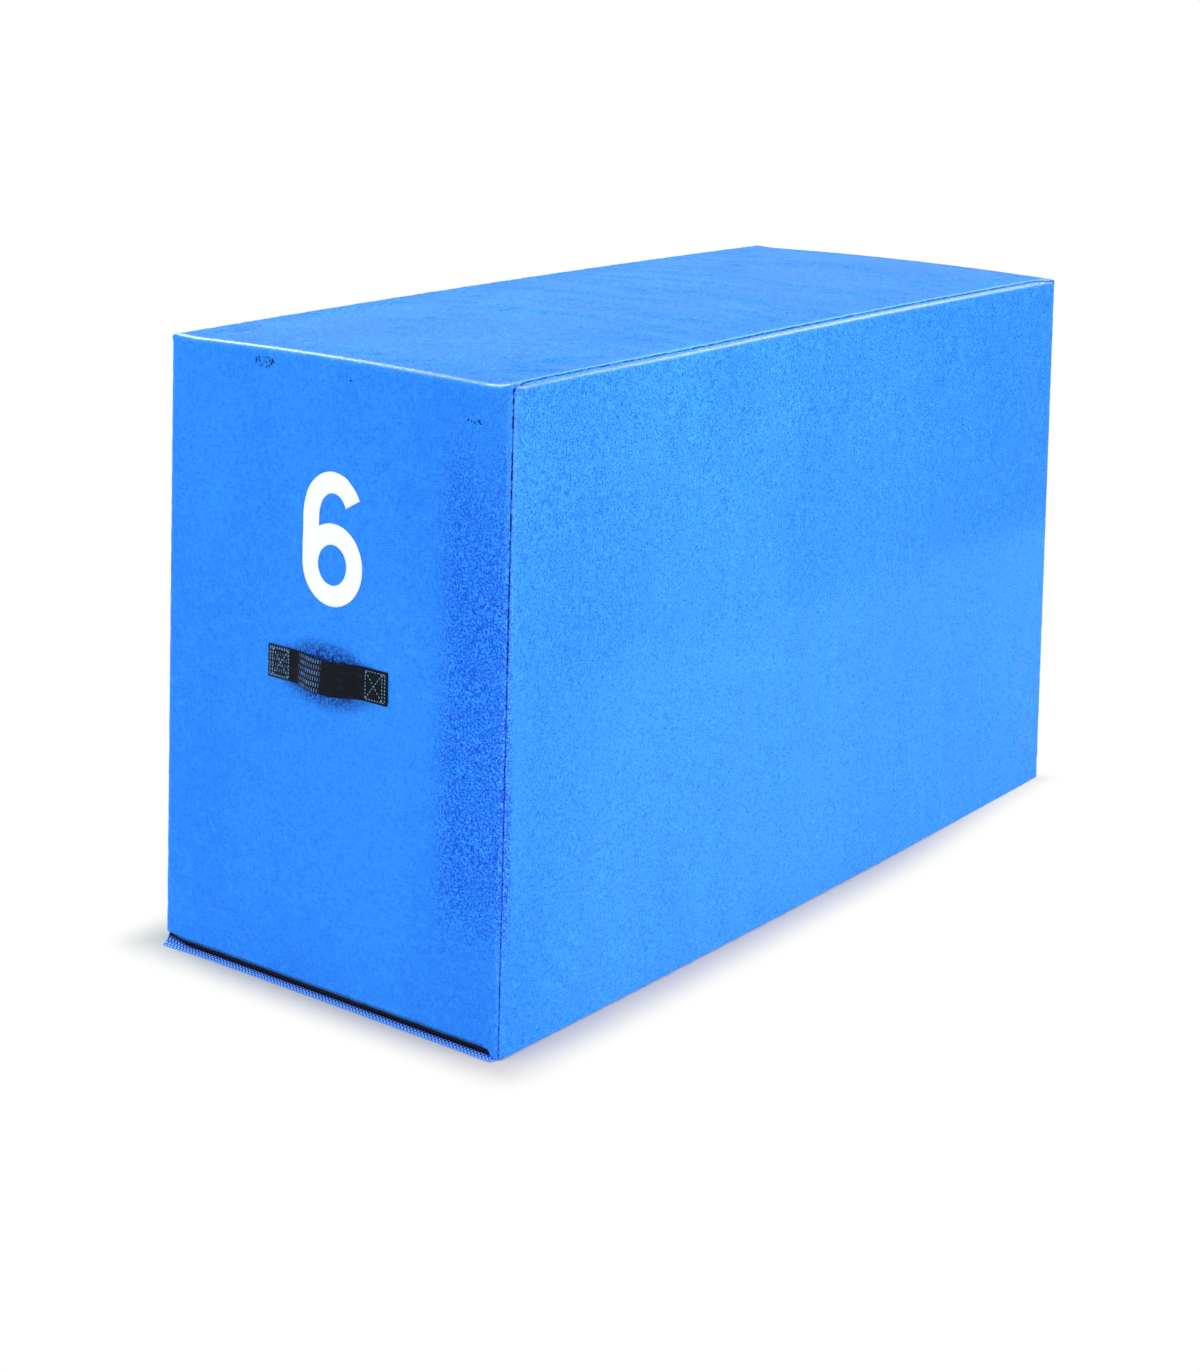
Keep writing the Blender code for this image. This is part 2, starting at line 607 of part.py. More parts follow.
def make_pull(material, slider, under):
    """The pull tab. Its end bar lies under the bail, and its window lets the bail's posts through."""
    pivot_out = under + PULL_THICKNESS / 2
    bar = PULL_THICKNESS / 2
    origin = on_left_face([(0.0, 0.0, pivot_out)], slider.location)[0]
    low, high = (-PULL_LENGTH, -PULL_WIDTH / 2), (bar, PULL_WIDTH / 2)
    head = rounded_rectangle(low, high, PULL_CORNER)
    tip = rounded_rectangle(low, high, PULL_TIP_RADIUS)
    quarter = len(head) // 4
    outline = np.concatenate([head[:quarter], tip[quarter : 3 * quarter], head[3 * quarter :]])
    half = PULL_WINDOW_WIDTH / 2
    window = rounded_rectangle((-bar - PULL_WINDOW_LENGTH, -half), (-bar, half), PULL_WINDOW_CORNER, 2)
    half = PULL_SLOT_WIDTH / 2
    slot = rounded_rectangle((-PULL_SLOT_TO, -half), (-PULL_SLOT_FROM, half), PULL_SLOT_CORNER, 3)
    points, faces = extrude_outlines([outline, window, slot], PULL_THICKNESS)
    points = points - (0, 0, PULL_THICKNESS / 2)
    add_object("zip_pull", on_left_face(points, origin), faces, material, origin, slider)


def on_end(end, points):
    """Points given as (across, out, height) on an end face, front or back, seen from outside."""
    across, out, height = np.moveaxis(np.asarray(points, float), -1, 0)
    return np.stack([-end * across, end * (HALF_LENGTH + out), height], -1)


def handle_line(count=29):
    """The webbing's underside: places across, distances out and the sag, with the sewn ends flat."""
    loop = HANDLE_LENGTH / 2 - HANDLE_SEWN_LENGTH
    across = np.concatenate(
        [[-HANDLE_LENGTH / 2, -HANDLE_LENGTH / 2 + HANDLE_SEWN_LENGTH / 2], np.linspace(-loop, loop, count)]
        + [[HANDLE_LENGTH / 2 - HANDLE_SEWN_LENGTH / 2, HANDLE_LENGTH / 2]]
    )
    share = np.clip((loop - np.abs(across)) / (2 * loop * HANDLE_RAMP), 0, 1)
    bow = share**2 * (3 - 2 * share)
    return across, FIT_GAP + HANDLE_RISE * bow, HANDLE_SAG * bow


def make_handle(name, end, material):
    across, out, sag = handle_line()
    slope = np.gradient(out, across)
    length = np.hypot(1, slope)
    over = np.stack([across - WEBBING_THICKNESS * slope / length, out + WEBBING_THICKNESS / length], -1)
    half = WEBBING_WIDTH / 2
    sections = []
    for k in range(len(across)):
        low, high = HANDLE_HEIGHT - half - sag[k], HANDLE_HEIGHT + half - sag[k]
        near, far = (across[k], out[k]), tuple(over[k])
        section = [(*near, low), (*far, low), (*far, high), (*near, high)]
        sections.append([(HANDLE_OFFSET + a, o, h) for a, o, h in section])
    sweep(name, on_end(end, sections), material)


def make_backing(name, end, material):
    """The patch behind the handle, inside the cover, which spreads the pull."""
    half_x = HANDLE_LENGTH / 2 + PATCH_MARGIN
    half_z = WEBBING_WIDTH / 2 + PATCH_MARGIN
    across = np.linspace(-half_x, half_x, 7) + HANDLE_OFFSET
    low, high = HANDLE_HEIGHT - half_z, HANDLE_HEIGHT + half_z
    near, far = -PATCH_DEPTH, -PATCH_DEPTH - PATCH_THICKNESS
    sections = [[(a, far, low), (a, near, low), (a, near, high), (a, far, high)] for a in across]
    sweep(name, on_end(end, sections), material)


def arc(centre, radii, first, last, count):
    angles = np.radians(np.linspace(first, last, count))
    return [(centre[0] + radii[0] * math.cos(a), centre[1] + radii[1] * math.sin(a)) for a in angles]


def number_outlines():
    """A condensed six, drawn from elliptical arcs about its upright middle line: its stem hooks over at
    the top, where it is cut off square to the stroke, and its bowl is closed."""
    half, inner = NUMBER_WIDTH / 2, NUMBER_WIDTH / 2 - NUMBER_STROKE
    bowl, hole_rise = NUMBER_BOWL_HEIGHT / 2, NUMBER_BOWL_HEIGHT / 2 - NUMBER_STROKE
    crown, crown_inner = NUMBER_CROWN_HEIGHT, NUMBER_CROWN_HEIGHT - NUMBER_STROKE
    top, cut = (0, NUMBER_HEIGHT - NUMBER_CROWN_HEIGHT), NUMBER_TERMINAL_ANGLE
    crotch = math.degrees(math.acos(-inner / half))
    outer = arc(top, (half, crown), cut, 180, 15)
    outer += arc((0, bowl), (half, bowl), 180, 360, 17)
    outer += arc((0, bowl), (half, bowl), 0, crotch, 11)[1:]
    outer += arc(top, (inner, crown_inner), 180, cut, 11)
    hole = arc((0, bowl), (inner, hole_rise), 0, 360, 21)[1:]
    return np.array(outer), np.array(hole)


def make_number(material):
    points, faces = extrude_outlines(number_outlines(), PRINT_THICKNESS)
    placed = points[:, [0, 2, 1]] + (0, FIT_GAP, NUMBER_FOOT)
    add_object("size_number", settled(on_end(FRONT, placed)), faces, material)


def main():
    for obj in list(bpy.data.objects):
        bpy.data.objects.remove(obj)
    vinyl = colour("blue coated fabric", (0.06, 0.34, 0.96), 0.42)
    underside = colour("grey grip fabric", (0.10, 0.11, 0.13), 0.8)
    hem_cloth = colour("pale blue hem", (0.13, 0.40, 0.93), 0.6)
    soft_foam = colour("soft foam", (0.83, 0.80, 0.68), 0.95)
    firm_foam = colour("firm foam", (0.35, 0.38, 0.42), 0.9)
    webbing = colour("black webbing", (0.012, 0.014, 0.020), 0.75)
    patch = colour("backing fabric", (0.05, 0.26, 0.70), 0.6)
    black_zip = colour("black zip tape", (0.012, 0.012, 0.016), 0.85)
    black_teeth = colour("black zip teeth", (0.02, 0.02, 0.024), 0.4)
    metal = colour("zip metal", (0.55, 0.55, 0.56), 0.35, 1.0)
    ink = colour("white print", (0.95, 0.95, 0.95), 0.5)

    make_foam(soft_foam, firm_foam)
    sheet("cover_wrap", wrap_surface, COVER_THICKNESS, vinyl)
    sheet("cover_side_right", side_surface(1), COVER_THICKNESS, vinyl)
    sheet("cover_side_left", side_surface(-1), COVER_THICKNESS, vinyl)
    make_base(underside)
    make_hem(hem_cloth)
    make_tapes(black_zip)
    make_teeth("zip_teeth_upper", 1, black_teeth)
    make_teeth("zip_teeth_lower", -1, black_teeth)
    make_stop("zip_stop_start", STOP_INSET, metal)
    make_stop("zip_stop_end", STOP_END_DISTANCE, metal)
    slider, pull_under = make_slider(metal)
    make_pull(metal, slider, pull_under)
    make_handle("front_handle", FRONT, webbing)
    make_handle("back_handle", BACK, webbing)
    make_backing("front_handle_backing", FRONT, patch)
    make_backing("back_handle_backing", BACK, patch)
    make_number(ink)


main()
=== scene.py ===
# %% [markdown]
# A foam vaulting box, dressed
#
# The box is a tall soft block: foam slabs in a sewn cover of blue coated fabric, a webbing handle on each
# end, a printed number, and a zip along the foot of the front end and of the left side. Its solids already
# exist, packed as a frame in metres with +Z up and the front end towards -Y. This script gives them their
# looks. Nearly every piece is worked out with numpy on the same straight box that the solids were drawn
# on, so that it lands where its solid lies, and is then handed to Blender as a mesh. Only the four small
# metal parts are copies of their solids.

# %% Load the frame
import json
import math

import bmesh
import bpy
import numpy as np
from mathutils import Matrix, Vector

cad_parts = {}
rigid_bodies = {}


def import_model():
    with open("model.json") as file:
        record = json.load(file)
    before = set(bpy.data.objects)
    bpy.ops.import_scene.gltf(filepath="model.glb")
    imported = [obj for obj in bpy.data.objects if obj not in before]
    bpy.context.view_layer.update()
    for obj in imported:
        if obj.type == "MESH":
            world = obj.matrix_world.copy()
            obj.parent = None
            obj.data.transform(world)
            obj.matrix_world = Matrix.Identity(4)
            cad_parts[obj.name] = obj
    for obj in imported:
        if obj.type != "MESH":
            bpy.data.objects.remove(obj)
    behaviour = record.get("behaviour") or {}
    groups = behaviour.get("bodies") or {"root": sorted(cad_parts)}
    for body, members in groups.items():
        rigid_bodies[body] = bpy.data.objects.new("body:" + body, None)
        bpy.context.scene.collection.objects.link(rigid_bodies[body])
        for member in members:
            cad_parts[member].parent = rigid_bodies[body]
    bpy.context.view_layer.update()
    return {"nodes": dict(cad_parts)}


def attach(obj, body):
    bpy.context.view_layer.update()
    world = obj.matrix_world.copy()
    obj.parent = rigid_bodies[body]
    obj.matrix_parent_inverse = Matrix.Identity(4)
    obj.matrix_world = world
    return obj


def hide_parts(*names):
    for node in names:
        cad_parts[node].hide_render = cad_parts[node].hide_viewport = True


for leftover in list(bpy.data.objects):
    bpy.data.objects.remove(leftover)
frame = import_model()

# %% [markdown]
# How a soft block stands
#
# A foam block is never a true box: its foot stands a little wider than its top, and each face is crowned.
# So a piece is placed on a straight box first, and settled() then carries it to where the soft block is.

# %% The straight box and the way it settles
BODY_WIDTH, BODY_LENGTH, BODY_HEIGHT = 0.630, 1.490, 0.900
EDGE_RADIUS, FIT_GAP = 0.012, 0.0003
SIDE_FLARE, END_FLARE, BACK_LEAN = 0.0095, 0.027, 0.0073
SIDE_CROWN, END_CROWN, FOOT_BULGE, UPRIGHT_AT = 0.004, 0.004, 0.0072, 0.73
TOP_CROWN_ALONG, TOP_CROWN_ACROSS, TOP_CROWN_DEPTH = 0.005, 0.006, 0.250
HALF_WIDTH, HALF_LENGTH = BODY_WIDTH / 2, BODY_LENGTH / 2
CORE_X, CORE_Y, CORE_Z = HALF_WIDTH - EDGE_RADIUS, HALF_LENGTH - EDGE_RADIUS, BODY_HEIGHT - EDGE_RADIUS


def settled(points):
    """Points of the straight box, carried to the soft block. A face stands out by a flare that falls evenly
    from foot to top, plus a crown: a squared sine up the face times a parabola along it. The right foot
    bulges, and the back end leans a little, more towards the right."""
    x, y, z = np.moveaxis(np.asarray(points, float), -1, 0)
    rise, across, along = z / BODY_HEIGHT, x / HALF_WIDTH, y / HALF_LENGTH
    open_across, open_along = (1 - np.clip(way, -1, 1) ** 2 for way in (across, along))
    belly = np.sin(math.pi * np.clip(rise, 0, 1)) ** 2
    foot = np.where(across > 0, (1 - np.clip(rise, 0, 1)) ** 2, 0)
    crest = np.clip((z - (BODY_HEIGHT - TOP_CROWN_DEPTH)) / TOP_CROWN_DEPTH, 0, None) ** 2
    side_stand = SIDE_FLARE * (0.5 - rise) + open_along * (SIDE_CROWN * belly + FOOT_BULGE * foot)
    lean = BACK_LEAN * (UPRIGHT_AT - rise) * (1 + np.clip(across, -1, 1)) / 2 * (along > 0)
    end_stand = END_FLARE * (0.5 - rise) + open_across * END_CROWN * belly + lean
    top_stand = crest * (TOP_CROWN_ALONG * open_along + TOP_CROWN_ACROSS * open_across)
    return np.stack([x + across * side_stand, y + along * end_stand, z + top_stand], -1)


print("top of the block: formula", round(float(settled((0, 0, BODY_HEIGHT))[2]), 4), end=", ")

# %% [markdown]
# The camera
#
# The photograph looks down a little on the front right edge. The camera's place, turns, focal length and
# shift come from fitting it to the block's outline, its upright seam and its folds. The sensor's 36 mm lie
# along the longer side of the image, so the focal length is a share of the image's height.

# %% Camera
IMAGE_HEIGHT, FOCAL_PIXELS, LENS_SHIFT = 1372, 2510.2, -0.1082
EYE = (2.2630, -3.1366, 1.4614)
YAW, PITCH, ROLL = math.radians(37.017), math.radians(13.602), math.radians(1.228)


def placed(name, data):
    """A new object with that data, linked into the scene."""
    made = bpy.data.objects.new(name, data)
    bpy.context.scene.collection.objects.link(made)
    return made


camera = placed("camera", bpy.data.cameras.new("camera"))
camera.data.sensor_width = 36.0
camera.data.lens = camera.data.sensor_width * FOCAL_PIXELS / IMAGE_HEIGHT
camera.data.shift_y = LENS_SHIFT
pose = Matrix.Translation(EYE)
for angle, axis in ((YAW, "Z"), (math.pi / 2 - PITCH, "X"), (ROLL, "Z")):
    pose = pose @ Matrix.Rotation(angle, 4, axis)
camera.matrix_world = pose
bpy.context.scene.camera = camera
print("lens", round(camera.data.lens, 2), "mm")

# %% [markdown]
# Writing a finish
#
# A finish in Blender is a graph of nodes, and most need the same few: a noise, a change of range, a mix of
# two colours, some arithmetic and a bump. So one small class stands for a value in a graph, with the usual
# signs of arithmetic, and another for the graph. A finish then reads as a list of what is seen.

# %% Values and graphs
class Value:
    """A number, colour or vector in a graph. Whatever is done with it gives another value."""

    def __init__(self, graph, socket):
        self.graph, self.socket = graph, socket

    def calc(self, operation, other=0.0):
        return self.graph.made("Math", {0: self, 1: other}, operation=operation)

    def __add__(self, other):
        return self.calc("ADD", other)

    def __sub__(self, other):
        return self.calc("SUBTRACT", other)

    def __mul__(self, other):
        return self.calc("MULTIPLY", other)

    def __truediv__(self, other):
        return self.calc("DIVIDE", other)

    def __pow__(self, other):
        return self.calc("POWER", other)

    def __abs__(self):
        return self.calc("ABSOLUTE")

    def remap(self, low, high, to_low=0.0, to_high=1.0):
        """The value carried smoothly from the range low to high to another range, and held beyond it."""
        ends = dict(enumerate((self, low, high, to_low, to_high)))
        return self.graph.made("MapRange", ends, interpolation_type="SMOOTHSTEP")

    def mix(self, first, second):
        """The first colour where the value is 0 and the second where it is 1."""
        return self.graph.made("Mix", {0: self, 6: first, 7: second}, 2, data_type="RGBA")

    def scaled(self, factor, share_of_blue):
        """The colour with red and green times a number, and blue by a share of that change."""
        blue = factor * share_of_blue + (1 - share_of_blue)
        factors = self.graph.made("CombineXYZ", {0: factor, 1: factor, 2: blue})
        return self.graph.made("VectorMath", {0: self, 1: factors}, operation="MULTIPLY")

    def axes(self):
        """The three numbers of a vector."""
        return [self.graph.made("SeparateXYZ", {0: self}, number) for number in range(3)]

    def wave(self, length):
        """A sine wave of that length."""
        return (self * (2 * math.pi / length)).calc("SINE")

    def bump(self, depth, strength=1.0, after=None):
        """A bump whose height of 1 stands depth metres proud, on top of an earlier one."""
        inputs = {"Height": self, "Distance": depth, "Strength": strength}
        return self.graph.made("Bump", inputs if after is None else {**inputs, "Normal": after})


class Graph:
    """A tree of nodes. Inputs may be given plain numbers and colours, or values of the same graph."""

    def __init__(self, tree):
        self.tree = tree

    def put(self, socket, value):
        if isinstance(value, Value):
            self.tree.links.new(value.socket, socket)
        else:
            socket.default_value = value

    def made(self, kind, inputs=(), output=0, **settings):
        """What a new node gives, with some of its inputs and outputs chosen by name or by number."""
        node = self.tree.nodes.new("ShaderNode" + kind)
        for label, value in settings.items():
            setattr(node, label, value)
        for label, value in dict(inputs).items():
            self.put(node.inputs[label], value)
        return Value(self, node.outputs[output])


class Finish(Graph):
    """A material, whose place is where a point lies on the object, in metres."""

    def __init__(self, name, **inputs):
        self.material = bpy.data.materials.new(name)
        self.material.use_nodes = True
        super().__init__(self.material.node_tree)
        self.shader = self.tree.nodes["Principled BSDF"]
        self.place = self.made("TexCoord", output="Object")
        self.set(**inputs)

    def set(self, **inputs):
        """Gives inputs of the shader a value each."""
        for label, value in inputs.items():
            self.put(self.shader.inputs[label.replace("_", " ")], value)

    def stretched(self, scale, turn=(0, 0, 0), vector=None):
        """Coordinates multiplied by scale on each axis, after a turn in radians."""
        return self.made("Mapping", {"Vector": vector or self.place, "Rotation": turn, "Scale": scale})

    def noise(self, scale, detail=2.0, roughness=0.5, vector=None):
        """Fractal noise, about 0.5 on average; scale is in bumps to the metre."""
        inputs = {"Vector": vector or self.place, "Scale": scale, "Detail": detail, "Roughness": roughness}
        return self.made("TexNoise", inputs, "Fac")

    def mark(self, name):
        """A number that the piece's points carry under that name."""
        return self.made("Attribute", output="Fac", attribute_name=name)

    def cloth(self):
        """The place on the piece's cloth in metres: along it and across it."""
        return self.made("UVMap", output="UV", uv_map="cloth")


def grained(name, dark, pale, grain, detail, depth, strength, **inputs):
    """A finish of one fine grain, which shows in its colour and in its relief."""
    finish = Finish(name, **inputs)
    texture = finish.noise(grain, detail)
    finish.set(Base_Color=texture.mix(dark, pale), Normal=texture.bump(depth, strength))
    return finish


print("values, graphs and finishes are ready")

# %% [markdown]
# Light and floor
#
# The photograph is a cut-out on white. The top is brightest, the long side next and the front least, a
# narrow gleam runs along the rounded edges, and a soft shadow lies round the foot. A big soft lamp overhead
# gives the shadow, one on the right lifts the long side and a weaker one fills the front. Two smaller ones
# stand behind, where a rounded edge mirrors them towards the camera. The floor is an ordinary white one
# near the block and turns into plain white light further off, which is only seen and lights nothing.

# %% Lamps
LAMPS = {
    "overhead_lamp": ((-0.6, -0.7, 3.4), (0, -0.1, 0.9), 3.2, 37.5, (1.0, 1.0, 1.0)),
    "right_lamp": ((3.8, -0.2, 1.5), (0.3, 0, 0.40), 2.4, 148.0, (1.0, 0.745, 0.69)),
    "front_lamp": ((-0.9, -4.2, 0.9), (0, -0.7, 0.38), 2.0, 53.0, (0.80, 1.0, 1.0)),
    "fold_gleam_lamp": ((-3.2, 0.1, 3.7), (0, -0.75, 0.9), 1.35, 60.0, (0.80, 1.0, 1.0)),
    "side_gleam_lamp": ((0.8, 4.2, 3.85), (0.3, 0, 0.9), 1.7, 52.0, (0.88, 1.0, 1.0)),
}
for name, (place, aim, size, watts, colour) in LAMPS.items():
    lamp = placed(name, bpy.data.lights.new(name, "AREA"))
    lamp.data.shape, lamp.data.size, lamp.data.energy = "SQUARE", size, watts
    lamp.data.color = colour
    lamp.location = place
    lamp.rotation_euler = (Vector(aim) - Vector(place)).to_track_quat("-Z", "Y").to_euler()
print(len(LAMPS), "lamps")

# %% World and floor
WORLD_LIGHT, FLOOR_SIZE, FOOTPRINT = 0.55, 60.0, (0.330, 0.765)
SHADE_RANGE, SHADE_TAPER, TAPER_RANGE = (-0.015, 0.080), 0.045, (0.15, 0.75)


def seen_rays(graph):
    """1 for rays from the camera, in a reflection or through glass, and 0 for light."""
    rays = ("Is Camera Ray", "Is Glossy Ray", "Is Transmission Ray")
    first, second, third = (graph.made("LightPath", output=ray) for ray in rays)
    return first.calc("MAXIMUM", second).calc("MAXIMUM", third)


world = bpy.data.worlds.new("studio")
bpy.context.scene.world = world
world.use_nodes = True
sky = Graph(world.node_tree)
background = world.node_tree.nodes["Background"]
background.inputs["Color"].default_value = (1, 1, 1, 1)
sky.put(background.inputs["Strength"], seen_rays(sky).remap(0.0, 1.0, WORLD_LIGHT, 1.0))

floor_white = Finish("white floor", Base_Color=(0.606, 0.612, 0.548, 1), Roughness=0.9)
x, y, _ = floor_white.place.axes()
past_x, past_y = ((abs(axis) - half).calc("MAXIMUM") for axis, half in zip((x, y), FOOTPRINT))
distance = (past_x**2.0 + past_y**2.0).calc("SQRT")
far = (distance + y.remap(*TAPER_RANGE, 0.0, SHADE_TAPER)).remap(*SHADE_RANGE)
lit = Value(floor_white, floor_white.shader.outputs[0])
shares = {0: far * seen_rays(floor_white), 1: lit, 2: floor_white.made("Emission")}
surface = floor_white.tree.nodes["Material Output"].inputs["Surface"]
floor_white.put(surface, floor_white.made("MixShader", shares))

floor_mesh = bpy.data.meshes.new("floor")
floor_corners = FLOOR_SIZE / 2 * np.array([(-1, -1, 0), (1, -1, 0), (1, 1, 0), (-1, 1, 0)])
floor_mesh.from_pydata(floor_corners.tolist(), [], [(0, 1, 2, 3)])
floor_mesh.materials.append(floor_white.material)
placed("floor", floor_mesh)
bpy.context.scene.view_settings.view_transform = "Standard"
print("world at", WORLD_LIGHT, "and a floor of", FLOOR_SIZE, "m")

# %% [markdown]
# Grids
#
# Nearly every surface here is a grid of points, rows by columns, with quads between neighbours. Its
# stations lie close together near the borders, where seams and puckers are, and wider apart in the plain
# middle, so that detail goes where it shows.

# %% Stations, quads and meshes
FINE_STEP, FINE_MARGIN = 0.003, 0.05


def even(low, high, step):
    """Stations from low to high, evenly spaced by about step."""
    return np.linspace(low, high, max(2, int(round((high - low) / step)) + 1))


def graded(low, high, step):
    """Stations from low to high, by fine steps within a margin of each end and by longer ones between."""
    near, far = (low, low + FINE_MARGIN, FINE_STEP), (high - FINE_MARGIN, high, FINE_STEP)
    return np.concatenate([even(*near)[:-1], even(near[1], far[0], step), even(*far)[1:]])


def bordered(before, stations, after):
    """The stations with the first and the last repeated for a border's levels, and all the levels, which
    are 0 on the stations themselves."""
    first, last = np.full(len(before), stations[0]), np.full(len(after), stations[-1])
    return np.concatenate([first, stations, last]), np.concatenate([before, 0 * stations, after])


def smooth(t):
    """0 below 0, 1 above 1, and an ease between them: three squares less two cubes."""
    t = np.clip(t, 0, 1)
    return t * t * (3 - 2 * t)


def index_quads(index):
    """The quads between neighbours in a grid of point numbers. They look along (column way) x (row way)."""
    return np.stack([index[:-1, :-1], index[:-1, 1:], index[1:, 1:], index[1:, :-1]], -1).reshape(-1, 4)


def grid_quads(rows, columns, round_columns=False):
    """The quads of a grid numbered row by row. A round one also joins its last column to its first."""
    index = np.arange(rows * columns).reshape(rows, columns)
    return index_quads(np.concatenate([index, index[:, :1]], 1) if round_columns else index)


def take_part(piece, body, stands_for):
    """The piece rides on a body, and the CAD nodes that it stands for are hidden."""
    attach(piece, body)
    if stands_for:
        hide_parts(*stands_for)


def add_piece(name, points, faces, finish, slot, stands_for=(), cloth=None, marks=None):
    """A mesh object on the box. cloth gives each point its place on the cloth in metres, for the UV map
    that woven finishes read, and marks gives it further numbers by name."""
    mesh = bpy.data.meshes.new(name)
    faces = faces if isinstance(faces, list) else faces.tolist()
    mesh.from_pydata(np.asarray(points, float).reshape(-1, 3).tolist(), [], faces)
    mesh.materials.append(finish.material)
    if cloth is not None:
        corner = np.empty(len(mesh.loops), np.int32)
        mesh.loops.foreach_get("vertex_index", corner)
        layer = mesh.uv_layers.new(name="cloth")
        layer.data.foreach_set("uv", np.asarray(cloth, float).reshape(-1, 2)[corner].ravel())
    for mark, values in (marks or {}).items():
        mesh.attributes.new(mark, "FLOAT", "POINT").data.foreach_set("value", np.ravel(values).astype(float))
    mesh.shade_smooth()
    mesh.calc_loop_triangles()
    piece = placed(name, mesh)
    take_part(piece, "box", stands_for)
    print(f"{name}: {len(mesh.loop_triangles)} triangles")
    return piece


# %% [markdown]
# Coated fabric
#
# The cover is cloth with a smooth vinyl face. It is not one blue: it has slow clouds, a mottle about a
# centimetre across, the print of the weave behind as short upright and level streaks, and a fine grain
# that breaks up the gleam, all from noise in Object coordinates at its real scale. Painted light makes the
# right side paler below, and painted shade makes it deeper above at its far end. A speckled painted shade
# darkens the front near its right edge, grime and painted shade darken the cloth round the handle, and
# there are a few black scuffs. What depends on a panel's shape comes as marks on its points, from 0 to 1:
# crest where a rounded edge is polished, a painted highlight along the top's edge by the right seam, and
# dirt with painted shade down in the seams, with painted shade just behind the folds.

# %% Coated fabric
COVER_BLUE, COVER_DEEP = (0.030, 0.262, 1.0, 1), (0.024, 0.232, 0.960, 1)
# The far colour is painted shade on the right side's far upper part; the pale one is the mottle's, and also
# painted light on that side's lower part.
COVER_PALE, COVER_FAR_SHADE = (0.044, 0.300, 1.0, 1), (0.018, 0.215, 0.950, 1)
COVER_SHADE_SPECK, GRIME_AND_SHADE_NAVY = (0.010, 0.105, 0.820, 1), (0.006, 0.018, 0.230, 1)
# Next line: a painted highlight by the top's right seam, then dirt with painted shade for the seams and
# painted shade behind the folds.
PAINTED_HIGHLIGHT_PALE, DIRT_AND_SHADE_NAVY = (0.160, 0.700, 1.0, 1), (0.002, 0.026, 0.150, 1)
SCUFF_BLACK = (0.001, 0.003, 0.020, 1)
STREAK_GAIN, PEPPER_GAIN, BAND_GAIN = 0.8, 0.50, 1.50
SIDE_GAIN, HIGH_GAIN, TOP_GAIN = 1.45, 1.20, 3.2
ON_END, BESIDE, ON_TOP, ON_HIGH = (0.730, 0.740), (0.300, 0.312), (0.899, 0.902), (0.45, 0.86)
LOWER_HALF, UPPER_HALF, NEAR_PART, FAR_PART = (0.53, 0.44), (0.44, 0.53), (-0.74, -0.50), (0.05, 0.62)
# The band of speckled painted shade near the front's right edge: across, up and which end.
SHADED_BAND, BAND_FOOT, FRONT_HALF = (0.175, 0.235), (0.10, 0.24), (0.0, -0.1)
PEPPER, MOTTLE, CLOUDS = 330.0, 85.0, 5.0
# An ellipse round the handle, where grime and painted shade darken the cloth.
GRIME_AND_SHADE_ELLIPSE = ((0.004, 0.470), (0.098, 0.050))
SCUFFS = (
    ("front", (-0.124, 0.884), (0.020, 0.008)),
    ("front", (0.034, 0.879), (0.004, 0.004)),
    ("front", (0.247, 0.851), (0.018, 0.003)),
    ("top", (-0.258, -0.632), (0.016, 0.028)),
)


def outside(across, up, middle, spread):
    """How far a place is from an ellipse's middle: the sum of its two squared shares, 1 on the ellipse."""
    return ((across - middle[0]) / spread[0]) ** 2.0 + ((up - middle[1]) / spread[1]) ** 2.0


